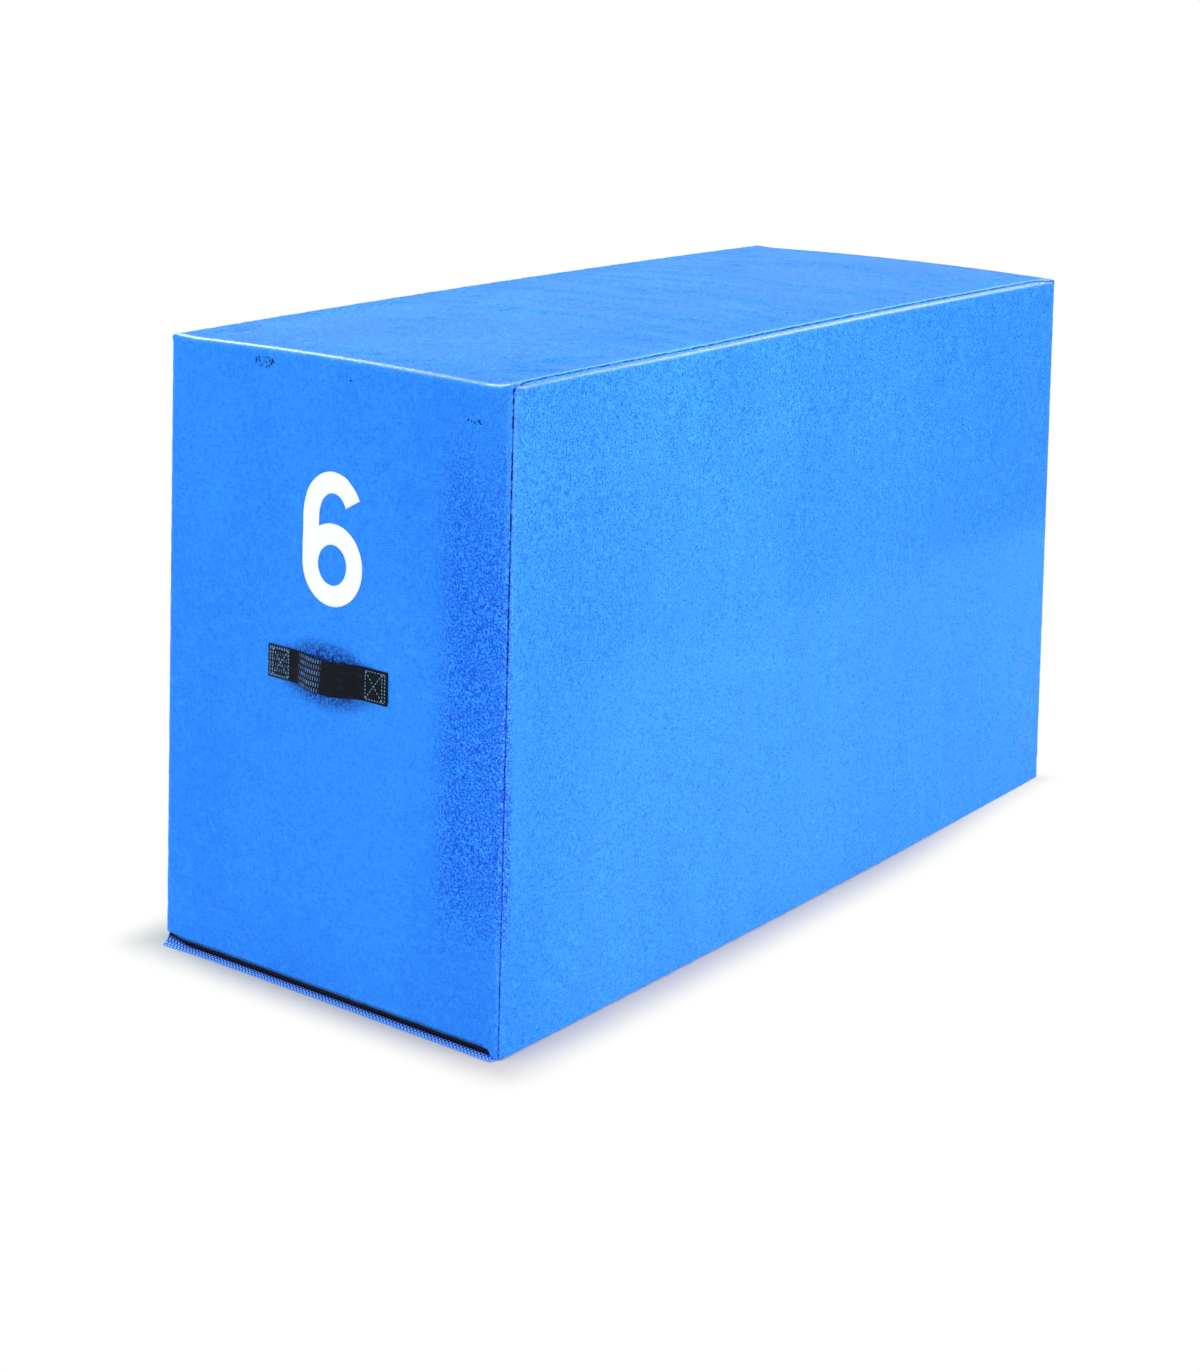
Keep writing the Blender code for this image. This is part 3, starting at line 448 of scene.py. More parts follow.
def coated_fabric(name):
    """Clouds, mottle, speckle and grain in the colour and in the bump of a satin vinyl."""
    finish = Finish(name)
    crest, dirt_and_shade, painted_highlight = (finish.mark(mark) for mark in ("crest", "dirt_and_shade", "painted_highlight"))
    x, y, z = finish.place.axes()
    on_end, beside = abs(y).remap(*ON_END), x.remap(*BESIDE)

    # slow clouds, with painted light making the right side paler below and painted shade making it deeper at
    # its far end above, and the mottle
    clouds = finish.noise(CLOUDS, 4.0, 0.55, finish.stretched((1.0, 1.0, 0.45)))
    mottle = finish.noise(MOTTLE, 3.0, 0.6)
    shade = clouds.remap(0.34, 0.66).mix(COVER_DEEP, COVER_BLUE)
    lower = beside * (z.remap(*LOWER_HALF) * y.remap(*NEAR_PART, 0.0, 0.4))
    upper = beside * (z.remap(*UPPER_HALF) * y.remap(*FAR_PART))
    shade = upper.mix(lower.mix(shade, COVER_PALE), COVER_FAR_SHADE)
    shade = (mottle.remap(0.42, 0.74) * 0.5).mix(shade, COVER_PALE)

    # the weave behind as streaks and specks, each stronger or weaker from face to face, and a speckled
    # painted shade near the front's right edge
    shaded_band = x.remap(*SHADED_BAND) * on_end * z.remap(*BAND_FOOT) * y.remap(*FRONT_HALF)
    shade = (finish.noise(PEPPER, 3.0, 0.7).remap(0.60, 0.40) * shaded_band).mix(shade, COVER_SHADE_SPECK)
    gain = beside * z.remap(*ON_HIGH) * HIGH_GAIN + PEPPER_GAIN + shaded_band * BAND_GAIN + beside * SIDE_GAIN
    gain = gain + z.remap(*ON_TOP, 0.0, TOP_GAIN)
    upright = finish.noise(1.0, 2.0, 0.6, finish.stretched((480, 480, 120)))
    level = finish.noise(1.0, 2.0, 0.6, finish.stretched((120, 120, 480)))
    pepper = finish.noise(PEPPER, 2.0, 0.8) - 0.5
    uneven = pepper * gain + (upright + level - 1.0) * STREAK_GAIN
    shade = shade.scaled(uneven + 1.0, 0.25)

    # grime with painted shade round the handle, the black scuffs, a painted highlight by the top's right
    # seam, and dirt with painted shade in dashes down in the seams and behind the folds
    grime_and_shade = outside(x, z, *GRIME_AND_SHADE_ELLIPSE).remap(1.25, 0.25) * on_end
    shade = (grime_and_shade * finish.noise(300.0, 3.0, 0.7).remap(0.38, 0.58, 0.22, 1.0)).mix(shade, GRIME_AND_SHADE_NAVY)
    flecks = finish.noise(240.0, 3.0, 0.6).remap(0.52, 0.58)
    for face, middle, spread in SCUFFS:
        up, here = (z, y.remap(-0.72, -0.73)) if face == "front" else (y, z.remap(0.890, 0.895))
        scuff = outside(x, up, middle, spread).remap(1.3, 0.7) * here
        shade = (scuff * flecks).mix(shade, SCUFF_BLACK)
    shade = (painted_highlight * mottle.remap(0.35, 0.60, 0.60, 0.95)).mix(shade, PAINTED_HIGHLIGHT_PALE)
    dirt_and_shade_dashes = finish.noise(150.0, 2.0).remap(0.44, 0.56, 0.20, 1.0) * z.remap(0.25, 0.80, 0.50, 1.0)
    shade = (dirt_and_shade * dirt_and_shade_dashes).mix(shade, DIRT_AND_SHADE_NAVY)

    polish = crest * dirt_and_shade.remap(0.0, 1.0, 0.75, 0.0)
    grain = finish.noise(900.0).bump(0.00025, 0.30, mottle.bump(0.0010, 0.30))
    finish.set(Base_Color=shade, Normal=grain, Roughness=crest.remap(0.0, 1.0, 0.46, 0.26))
    finish.set(Specular_IOR_Level=polish + 0.05)
    return finish


cover_fabric = coated_fabric("blue coated fabric")
print("coated fabric:", len(cover_fabric.tree.nodes), "nodes")

# %% [markdown]
# Creases and puckers
#
# The cover is pulled over foam and never quite smooth. A cloth simulation gives the slow hollows and swells
# of its panels. Long creases lie where the photograph shows them, mostly on the top, where people land.
# And along each seam the stitching gathers the cloth into puckers, which both of its panels share. All
# three are heights that the cloth stands off the plain block.

# %% The five upright and top faces
FACES = {
    "front": ((-CORE_X, 0.0), (CORE_X, CORE_Z)),
    "back": ((-CORE_X, 0.0), (CORE_X, CORE_Z)),
    "top": ((-CORE_X, -CORE_Y), (CORE_X, CORE_Y)),
    "right": ((-CORE_Y, 0.0), (CORE_Y, CORE_Z)),
    "left": ((-CORE_Y, 0.0), (CORE_Y, CORE_Z)),
}
BORDERS = {
    "front": ("front_left_seam", "front_right_seam", "front_foot", "front_fold"),
    "back": ("back_left_seam", "back_right_seam", "back_foot", "back_fold"),
    "top": ("top_left_seam", "top_right_seam", "front_fold", "back_fold"),
    "right": ("front_right_seam", "back_right_seam", "right_foot", "top_right_seam"),
    "left": ("front_left_seam", "back_left_seam", "left_foot", "top_left_seam"),
}
CLOTH_CELL, CLOTH_FRAMES, CLOTH_ROUGHNESS = 0.016, 20, 0.0008


def cloth_panel(name, low, high, seed):
    """A flat cloth with its border pinned, a trifle larger than its frame and pushed from behind."""
    x, y = np.meshgrid(even(low[0], high[0], CLOTH_CELL), even(low[1], high[1], CLOTH_CELL))
    start = CLOTH_ROUGHNESS * np.random.default_rng(seed).standard_normal(x.shape)
    mesh = bpy.data.meshes.new(name)
    points = np.stack([x, y, start], -1).reshape(-1, 3)
    mesh.from_pydata(points.tolist(), [], grid_quads(*x.shape).tolist())
    panel = placed(name, mesh)
    border = np.ones(x.shape, bool)
    border[1:-1, 1:-1] = False
    pinned = panel.vertex_groups.new(name="pinned")
    pinned.add(np.flatnonzero(border.ravel()).tolist(), 1.0, "REPLACE")
    cloth = panel.modifiers.new("cloth", "CLOTH").settings
    cloth.quality = 6
    cloth.mass = 0.3
    cloth.tension_stiffness = cloth.compression_stiffness = 20
    cloth.bending_stiffness = 0.8
    cloth.use_pressure = True
    cloth.uniform_pressure_force = 0.6
    cloth.shrink_min = -0.004
    cloth.vertex_group_mass = "pinned"
    cloth.effector_weights.gravity = 0
    return panel, x.shape


def leftover_height(height):
    """What is left of a panel's height without its broad dome, which the block's own crown has already.
    The dome is a parabola each way times a constant, two slopes and three squares, by least squares."""
    v, u = np.meshgrid(*(np.linspace(-1, 1, count) for count in height.shape), indexing="ij")
    parabola = (1 - u**2) * (1 - v**2)
    terms = np.stack([parabola * t for t in (1 + 0 * u, u, v, u**2, v**2, (u * v) ** 2)], -1).reshape(-1, 6)
    share = np.linalg.lstsq(terms, height.ravel(), rcond=None)[0]
    return height - (terms @ share).reshape(height.shape)


def simulate_swell():
    """The five panels simulated together, as a grid of heights for each face."""
    panels = {}
    for seed, (face, (low, high)) in enumerate(FACES.items()):
        panels[face] = cloth_panel("cloth_" + face, low, high, seed)
    for step in range(1, CLOTH_FRAMES + 1):
        bpy.context.scene.frame_set(step)
    graph = bpy.context.evaluated_depsgraph_get()
    swell = {}
    for face, (panel, shape) in panels.items():
        blown = panel.evaluated_get(graph).data
        places = np.empty(3 * len(blown.vertices))
        blown.vertices.foreach_get("co", places)
        swell[face] = leftover_height(places[2::3].reshape(shape))
        print(f"{face}: swell from {swell[face].min() * 1000:.2f} to {swell[face].max() * 1000:.2f} mm")
        bpy.data.objects.remove(panel)
    bpy.context.scene.frame_set(1)
    return swell


swell = simulate_swell()


# %% Reading a grid between its points
def cubic_weight(t):
    """The cubic convolution kernel: 1 at 0, 0 at every other whole number, smooth between."""
    t = np.abs(t)
    near, far = 1.5 * t**3 - 2.5 * t**2 + 1, -0.5 * t**3 + 2.5 * t**2 - 4 * t + 2
    return np.where(t < 1, near, np.where(t < 2, far, 0))


def read_grid(grid, low, high, across, up):
    """The value of an even grid at any places: the kernel over the 4 x 4 points round each place."""
    rows, columns = grid.shape
    u = (across - low[0]) / (high[0] - low[0]) * (columns - 1)
    v = (up - low[1]) / (high[1] - low[1]) * (rows - 1)
    column, row = np.floor(u).astype(int), np.floor(v).astype(int)
    total = np.zeros(np.broadcast(u, v).shape)
    for i, j in np.ndindex(4, 4):
        near_row, near_column = row + i - 1, column + j - 1
        value = grid[np.clip(near_row, 0, rows - 1), np.clip(near_column, 0, columns - 1)]
        total += value * cubic_weight(v - near_row) * cubic_weight(u - near_column)
    return total


# %% Creases and puckers, by formula
SWELL_CAP, HOLLOW_CAP, BORDER_FADE = 0.0016, 0.0013, 0.030
CREASES = {
    "top": [
        ((-0.302, 0.090), (-0.043, 0.038), 0.0024, 0.011),
        ((0.125, -0.282), (0.300, -0.318), 0.0022, 0.014),
        ((0.150, -0.398), (0.300, -0.417), 0.0016, 0.014),
        ((0.200, -0.628), (0.252, -0.475), 0.0022, 0.010),
        ((0.222, -0.676), (0.270, -0.618), 0.0020, 0.009),
        ((0.109, -0.022), (0.209, -0.031), 0.0010, 0.009),
        ((0.169, -0.221), (0.290, -0.247), 0.0011, 0.008),
        ((-0.290, 0.232), (-0.196, 0.184), 0.0013, 0.009),
        ((-0.305, 0.460), (-0.222, 0.439), 0.0011, 0.009),
        ((-0.300, -0.332), (-0.200, -0.374), 0.0011, 0.009),
        ((-0.295, -0.144), (-0.165, -0.197), 0.0011, 0.009),
        ((0.161, -0.003), (0.300, -0.070), 0.0024, 0.013),
        ((0.240, -0.150), (0.302, -0.135), 0.0010, 0.007),
        ((0.165, 0.474), (0.302, 0.410), 0.0022, 0.013),
        ((0.181, 0.301), (0.300, 0.242), 0.0020, 0.013),
    ],
    "right": [
        ((0.373, 0.209), (0.392, 0.004), 0.0022, 0.009),
        ((0.340, 0.120), (0.372, 0.004), 0.0012, 0.007),
        ((0.312, 0.141), (0.330, 0.004), 0.0011, 0.007),
        ((0.177, 0.111), (0.186, 0.004), 0.0013, 0.008),
        ((0.720, 0.254), (0.614, 0.004), 0.0014, 0.012),
        ((0.722, 0.165), (0.621, 0.004), 0.0012, 0.010),
        ((0.700, 0.360), (0.583, 0.121), 0.0012, 0.022),
    ],
    "front": [
        ((-0.290, 0.070), (-0.230, 0.100), 0.0012, 0.022),
        ((-0.262, 0.790), (-0.230, 0.750), 0.0012, 0.020),
    ],
    "back": [
        ((0.120, 0.830), (0.262, 0.870), 0.0013, 0.010),
        ((-0.290, 0.120), (-0.150, 0.080), 0.0014, 0.013),
    ],
    "left": [
        ((-0.420, 0.180), (-0.400, 0.010), 0.0015, 0.010),
        ((0.300, 0.150), (0.318, 0.010), 0.0013, 0.009),
    ],
}
PUCKER_HEIGHT = {"fold": 0.00013, "seam": 0.00018, "foot": 0.0005}
PUCKER_LENGTHS, PUCKER_TAPER = (0.019, 0.027, 0.041, 0.058, 0.083), 0.035


def bell(offset, spread):
    """A bell curve: 1 in the middle and about a third at the spread."""
    return np.exp(-((offset / spread) ** 2))


def crease(across, up, start, end, height, width):
    """A ridge from start to end with a shallower valley beside it, each a bell curve across its line,
    that fades in along the line and widens."""
    start, end = np.array(start), np.array(end)
    length = np.linalg.norm(end - start)
    way = (end - start) / length
    along = ((across - start[0]) * way[0] + (up - start[1]) * way[1]) / length
    beside = (across - start[0]) * -way[1] + (up - start[1]) * way[0]
    spread = width * (0.6 + 0.7 * np.clip(along, 0, 1))
    fade = smooth((along + 0.10) / 0.35) * smooth((1.08 - along) / 0.16)
    return height * fade * (bell(beside, spread) - 0.55 * bell(beside - 1.9 * spread, 1.3 * spread))


def pucker(border, place, low, high, depth):
    """The gathers along a border, at a place along it and a depth into the face: five sine waves of the
    lengths above, each dying out over about its own length, and all fading towards the border's ends."""
    rng = np.random.default_rng(sum(map(ord, border)))
    height = PUCKER_HEIGHT[border.split("_")[-1]]
    total = 0.0
    for length, phase, swing in zip(PUCKER_LENGTHS, rng.uniform(0, 2 * math.pi, 5), rng.uniform(0.5, 1, 5)):
        slow = 0.6 + 0.4 * np.sin(place / (3.7 * length) + 2 * phase)
        wave = np.sin(2 * math.pi * place / length + phase)
        total = total + height * swing * slow * wave * np.exp(-depth / (0.45 * length))
    return total * smooth((place - low) / PUCKER_TAPER) * smooth((high - place) / PUCKER_TAPER)


def face_lift(face, across, up):
    """How far the cloth stands off the plain block at places of a face. Hollows are held back by a tanh,
    because the foam lies close behind."""
    (left, foot), (right, head) = FACES[face]
    across, up = np.clip(across, left, right), np.clip(up, foot, head)
    depths = (across - left, right - across, up - foot, head - up)
    lift = sum(crease(across, up, *line) for line in CREASES[face])
    if swell:
        lift = lift + SWELL_CAP * np.tanh(read_grid(swell[face], *FACES[face], across, up) / SWELL_CAP)
    lift = lift * smooth(np.minimum(np.minimum(*depths[:2]), np.minimum(*depths[2:])) / BORDER_FADE)
    edges = 2 * ((up, foot, head),) + 2 * ((across, left, right),)
    for border, edge, depth in zip(BORDERS[face], edges, depths):
        lift = lift + pucker(border, *edge, depth)
    return np.where(lift < 0, HOLLOW_CAP * np.tanh(lift / HOLLOW_CAP), lift)


sample = face_lift("top", *np.meshgrid(even(-CORE_X, CORE_X, 0.01), even(-CORE_Y, CORE_Y, 0.01)))
print(f"relief of the top: {sample.min() * 1000:.2f} to {sample.max() * 1000:.2f} mm")

# %% [markdown]
# How a sewn edge is shaped
#
# Two panels meet on the rounded edge of the block. Each turns round it by an arc, rolls in over a small
# fillet at the seam, and runs on inside as its seam allowance, so a dark ditch lies between the fillets. A
# corner is a piece of a ball, and the square corner of a side panel's grid is laid on it ring by ring. At
# the foot a panel rolls under in the same way, tightly where it carries the zip.

# %% Sections of a panel's border
FILLET, ALLOWANCE = 0.0016, 0.0025
SEAM_TURN_UPRIGHT, SEAM_TURN_TOP, SEAM_RUN_IN = math.radians(45), math.radians(20), 0.055
EDGE_LEVELS = np.concatenate([np.linspace(0, 1, 6)[1:], np.linspace(1, 2, 6)[1:], [2.5, 3.0]])
FOOT_LEVELS = np.concatenate([[2.0, 1.5], np.linspace(1, 0, 7)[:-1]])
FOOT_BLEND = 0.060
EAR_OUT, EAR_HEIGHT, EAR_SPREAD, CORNER_PULL = 0.007, 0.0040, 0.014, 0.28
RIDGE_HEIGHT, RIDGE_SPREAD, LEFT_RIDGE = 0.0036, 0.030, 0.7
RIDGE_START, RIDGE_RUN, LIFT_BELOW, LIFT_RUN = 0.30, 0.40, 0.020, 0.024
SEAM_DRIFT, DRIFT_MIDDLE, DRIFT_SPREAD = 0.0036, 0.004, 0.006
DRIFT_ABOVE, DRIFT_RUN, DRIFT_END = 0.004, 0.006, 0.008
HEM_ROLL, SEWN_ROLL, TURN_IN = 0.0005, 0.0022, 0.006
BASE_THICKNESS = 0.0012
PANEL_FOOT, HEM_HEIGHT, HEM_RUN_OUT = BASE_THICKNESS + FIT_GAP, 0.016, 0.006
FRONT_DROP, FRONT_DROP_RUN = 0.0026, 0.012
CORNER_TUCK, CORNER_REACH = 0.006, 0.020


def seam_turn(y):
    """How far the strip turns round the top edge at y: half way at the corners, and less between them,
    where the side panel rolls over the edge instead. It changes faster at the front."""
    eased = smooth((CORE_Y - np.abs(y)) / np.where(np.asarray(y) < 0, SEAM_RUN_IN / 2, SEAM_RUN_IN))
    return SEAM_TURN_UPRIGHT + (SEAM_TURN_TOP - SEAM_TURN_UPRIGHT) * eased


def edge_section(level, turn, inset):
    """A panel's section at a sewn edge, as distances (round, out) from the middle of the edge circle. It
    turns by an arc up to level 1, rolls in by a quarter of the fillet up to 2, and runs in up to 3."""
    limit = turn - (FILLET + FIT_GAP / 2) / (EDGE_RADIUS - FILLET)
    ease = limit * np.clip(level, 0, 1)
    roll = math.pi / 2 * np.clip(level - 1, 0, 1)
    reach = EDGE_RADIUS - FILLET - ALLOWANCE * np.clip(level - 2, 0, 1) - inset
    around = reach * np.sin(ease) + FILLET * np.sin(ease + roll)
    return around, reach * np.cos(ease) + FILLET * np.cos(ease + roll)


def polish(turned, middle):
    """How polished an edge is at an angle turned through: a bell curve round its middle in degrees."""
    return bell(turned - math.radians(middle), math.radians(15))


def edge_marks(level, turn, upwards):
    """The marks of a panel's border, where upwards is 1 on the top's edges and 0 on upright ones. crest
    is a bell curve of the angle turned through, or a quarter of the sine of twice that angle on an upright
    edge. The dirt with painted shade in the seam goes from 0 to 1 where the fillet begins."""
    turned = turn * np.clip(level, 0, 1)
    crest = polish(turned, 50) * upwards + 0.25 * np.sin(2 * turned) * (1 - upwards)
    dirt_and_shade = smooth((level - 1.15 + 0.22 * upwards) / 0.30) * (1 - 0.25 * upwards)
    return {"crest": crest, "dirt_and_shade": dirt_and_shade}


def eared(points):
    """The points with the top's corners drawn to a point, the front right one also up, and the long edges
    raised: the left one all along, the right one near that corner. A corner's pull is 27 times the squared
    product of the three parts of the way out from its ball's middle, so 1 on the diagonal and 0 on the
    edges. The lifts, and the seam's drift inwards, are bell curves of the distance."""
    core = np.sign(points) * (CORE_X, CORE_Y, CORE_Z)
    way = np.clip((points - core) * np.sign(core), 0, None)
    length = np.maximum(np.linalg.norm(way, axis=-1), 1e-9)
    pull = 27 * (way.prod(-1) / length**3) ** 2
    x, y, z = np.moveaxis(points + (CORNER_PULL * pull)[..., None] * (points - core) * (way > 0), -1, 0)
    from_side, from_end = CORE_X + EAR_OUT - np.abs(x), CORE_Y + EAR_OUT - np.abs(y)
    ear = EAR_HEIGHT * bell(np.hypot(from_side, from_end), EAR_SPREAD) * ((x > 0) & (y < 0))
    raised = np.where(x < 0, LEFT_RIDGE, smooth((-y - RIDGE_START) / RIDGE_RUN))
    ridge = RIDGE_HEIGHT * raised * bell(from_side, RIDGE_SPREAD)
    lift = (ear + ridge) * smooth((z - CORE_Z + LIFT_BELOW) / LIFT_RUN)
    drift = SEAM_DRIFT * bell(np.abs(x) - CORE_X - DRIFT_MIDDLE, DRIFT_SPREAD)
    drift = drift * smooth((z - CORE_Z - DRIFT_ABOVE) / DRIFT_RUN) * smooth(from_end / DRIFT_END)
    return np.stack([x - np.sign(x) * drift, y, z + lift], -1)


def foot_section(level, radius, sweep):
    """A panel's section at its foot, as (inset, drop) from where its roll starts: it rolls in through
    sweep up to level 1 and runs straight on up to level 2."""
    roll, run = sweep * np.clip(level, 0, 1), TURN_IN * np.clip(level - 1, 0, 1)
    return radius * (1 - np.cos(roll)) + run * math.sin(sweep), radius * np.sin(roll) + run * math.cos(sweep)


def foot_blend(station):
    """The share of the roll's height that a station near the foot is raised by."""
    return np.clip(1 - station / FOOT_BLEND, 0, 1)


def hem_height(left_of_end, from_corner=0.0):
    """The height of a zipped panel's lower edge, which comes down to the base where the zip ends. The left
    side's edge comes down at the corner to meet the front's, which hangs lower."""
    full = HEM_HEIGHT - FRONT_DROP * smooth(1 - from_corner / FRONT_DROP_RUN)
    return PANEL_FOOT + (full - PANEL_FOOT) * smooth(left_of_end / HEM_RUN_OUT)


def corner_tuck(height, from_corner):
    """How far a zipped panel is drawn in at a height above its lower edge near the left front corner, where
    the cloth is rolled under: a quarter circle."""
    rolled = 1 - np.sqrt(1 - np.clip(1 - height / CORNER_TUCK, 0, 1) ** 2)
    return CORNER_TUCK * rolled * smooth(1 - from_corner / CORNER_REACH)


print("fillet", FILLET * 1000, "mm, seam allowance", ALLOWANCE * 1000, "mm")

# %% [markdown]
# The strip over the front, top and back
#
# One strip of cloth is the front end, the top and the back end: the photograph shows no seam on the front
# fold. Its surface has two parameters, the run up the front, over and down the back, and the place across.

# %% The wrap
FOLD_RUN = EDGE_RADIUS * math.pi / 2
TOP_START = CORE_Z + FOLD_RUN
TOP_END = TOP_START + 2 * CORE_Y
WRAP_RUN = TOP_END + FOLD_RUN + CORE_Z
WRAP_STEP, FOLD_CELLS = 0.0068, 8
# How much painted shade lies on the top just behind each fold, how far behind and how wide.
FOLD_SHADE, FOLD_SHADE_BEHIND, FOLD_SHADE_SPREAD = 0.22, 0.006, 0.004
# Where the painted highlight lies on the top by its right seam: how far in and how wide.
HIGHLIGHT_FROM_SEAM, HIGHLIGHT_SPREAD = 0.0068, 0.0045
FOAM = ["foam_core_lower", "foam_core_middle", "foam_core_upper", "foam_top_layer"]


def wrap_track(run):
    """For a run from the foot of the front: the middle of the edge circle (y, z), and the angle through
    which the strip has turned, from 0 on the front to half a turn on the back."""
    turned = np.clip((run - CORE_Z) / EDGE_RADIUS, 0, math.pi / 2)
    turned = turned + np.clip((run - TOP_END) / EDGE_RADIUS, 0, math.pi / 2)
    y = -CORE_Y + np.clip(run - TOP_START, 0, 2 * CORE_Y)
    return y, np.clip(run, None, CORE_Z) - np.clip(run - TOP_END - FOLD_RUN, 0, None), turned


def wrap_points(run, x, level, inset):
    """Points of the strip on the straight box, with the relief of whichever face the run has reached.
    level counts outwards from the side edges, with its sign."""
    y, z, turned = wrap_track(run)
    upright = np.where(turned < math.pi / 4, face_lift("front", x, z), face_lift("back", x, z))
    lift = np.where((run > CORE_Z) & (run < TOP_END + FOLD_RUN), face_lift("top", x, y), upright)
    around, out = edge_section(np.abs(level), seam_turn(y), inset - lift)
    return np.stack([x + np.sign(level) * around, y - np.cos(turned) * out, z + np.sin(turned) * out], -1)


def wrap_marks(run, x, level):
    """The strip's marks: the folds are polished too, with painted shade just behind them, and the top has a
    painted highlight by its right seam.
    """
    y, _, turned = wrap_track(run)
    on_top = turned == math.pi / 2
    marks = edge_marks(np.abs(level), seam_turn(y), np.sin(turned))
    marks["crest"] = np.maximum(marks["crest"], (polish(turned, 60) + polish(turned, 120)) * ~on_top)
    from_seam = CORE_X - np.abs(x) + (1 - np.abs(level)) * EDGE_RADIUS * seam_turn(y)
    marks["painted_highlight"] = bell(from_seam - HIGHLIGHT_FROM_SEAM, HIGHLIGHT_SPREAD) * on_top * (x > 0)
    behind = np.minimum(np.abs(run - TOP_START), np.abs(run - TOP_END)) - FOLD_SHADE_BEHIND
    marks["dirt_and_shade"] = np.maximum(marks["dirt_and_shade"], FOLD_SHADE * bell(behind, FOLD_SHADE_SPREAD) * on_top)
    return marks


def make_wrap():
    """The strip's grid: rows along the run, with the foot rolls at both ends, and columns across."""
    upright = graded(0, CORE_Z, WRAP_STEP)
    fold = np.linspace(0, FOLD_RUN, FOLD_CELLS + 1)[1:]
    top = graded(TOP_START, TOP_END, WRAP_STEP)[1:]
    plain = np.concatenate([upright, CORE_Z + fold, top, TOP_END + fold, (WRAP_RUN - upright[::-1])[1:]])
    station, under = (part[:, None] for part in bordered(-FOOT_LEVELS, plain, FOOT_LEVELS[::-1]))
    x, level = bordered(-EDGE_LEVELS[::-1], graded(-CORE_X, CORE_X, WRAP_STEP), EDGE_LEVELS)
    inset_front, drop_front = foot_section(-under, HEM_ROLL, math.pi)
    inset_back, drop_back = foot_section(under, SEWN_ROLL, math.pi / 2)
    start_front, start_back = hem_height(CORE_X - x) + HEM_ROLL, PANEL_FOOT + SEWN_ROLL
    run = station + start_front * foot_blend(station) - drop_front
    run = run - start_back * foot_blend(WRAP_RUN - station) + drop_back
    inset = inset_front + inset_back + corner_tuck(run - start_front, CORE_X + x)
    x, level = np.broadcast_arrays(x, level, run)[:2]
    points = settled(eared(wrap_points(run, x, level, inset)))
    return points, grid_quads(*run.shape), wrap_marks(run, x, level)


surface, faces, marks = make_wrap()
wrap = add_piece("cover_wrap_cloth", surface, faces, cover_fabric, "blue_cover", ["cover_wrap"], marks=marks)

# %% [markdown]
# The two side panels
#
# Each long side is one panel, flat, and rolled over its front, top and back edges up to the seam. The left
# one carries the zip along its foot, so its lower edge stands higher and is turned under tightly.

# %% The side panels
SIDE_STEP = 0.0078


def side_points(side, y, z, level_y, level_z, inset):
    """Points and marks of a side panel on the straight box: +1 is the right side and -1 the left. The two
    levels count outwards from the upright edges, with their sign, and from the top edge. On a corner the
    larger level is the ring, and the smaller one's share of it the bearing round the ball."""
    size = np.abs(level_y)
    ring = np.maximum(size, level_z)
    safe = np.where(ring > 0, ring, 1)
    bearing = np.where(size >= level_z, level_z / safe, 2 - size / safe) * math.pi / 4 * (ring > 0)
    turn = math.pi / 2 - np.where((level_z > 0) & (level_y == 0), seam_turn(y), SEAM_TURN_UPRIGHT)
    around, out = edge_section(ring, turn, inset - face_lift("right" if side > 0 else "left", y, z))
    y = y + around * np.cos(bearing) * np.sign(level_y)
    points = np.stack([side * (CORE_X + out), y, z + around * np.sin(bearing)], -1)
    return points, edge_marks(ring, turn, np.sin(bearing))


def make_side(side):
    """A side panel's grid: rows from the foot roll to the top seam, columns from front to back."""
    y, level_y = bordered(-EDGE_LEVELS[::-1], graded(-CORE_Y, CORE_Y, SIDE_STEP), EDGE_LEVELS)
    rows = bordered(-FOOT_LEVELS, graded(0, CORE_Z, SIDE_STEP), EDGE_LEVELS)
    station, level = (part[:, None] for part in rows)
    roll, sweep = (SEWN_ROLL, math.pi / 2) if side > 0 else (HEM_ROLL, math.pi)
    inset, drop = foot_section(-level, roll, sweep)
    start = roll + (PANEL_FOOT + 0 * y if side > 0 else hem_height(CORE_Y - y, CORE_Y + y))
    z = station + start * foot_blend(station) - drop
    if side < 0:
        inset = inset + corner_tuck(z - start, CORE_Y + y)
    y, level_y, level_z, inset = np.broadcast_arrays(y, level_y, np.clip(level, 0, None), inset, z)[:4]
    points, marks = side_points(side, y, z, level_y, level_z, inset)
    return settled(eared(points)), grid_quads(*z.shape)[:, ::side], marks


for side, name in ((1, "cover_side_right"), (-1, "cover_side_left")):
    surface, faces, marks = make_side(side)
    panel = add_piece(name + "_cloth", surface, faces, cover_fabric, "blue_cover", [name], marks=marks)

# %% [markdown]
# Closed pieces
#
# The smaller pieces are solids: a section carried along a path, so a grid that is round one way and capped
# at both ends. The volume that its faces enclose comes out positive when they look outwards, and otherwise
# all are turned.

# %% Solids and copies
def unit(vectors):
    """The vectors at a length of 1."""
    return vectors / np.linalg.norm(vectors, axis=-1, keepdims=True)


def run_along(rows):
    """The length of the way through some points, from 0 at the first one."""
    return np.concatenate([[0], np.cumsum(np.linalg.norm(np.diff(rows, axis=0), axis=1))])


def stacked(*parts):
    """Arrays of any shapes that fit together, as the coordinates of points."""
    return np.stack(np.broadcast_arrays(*parts), -1)


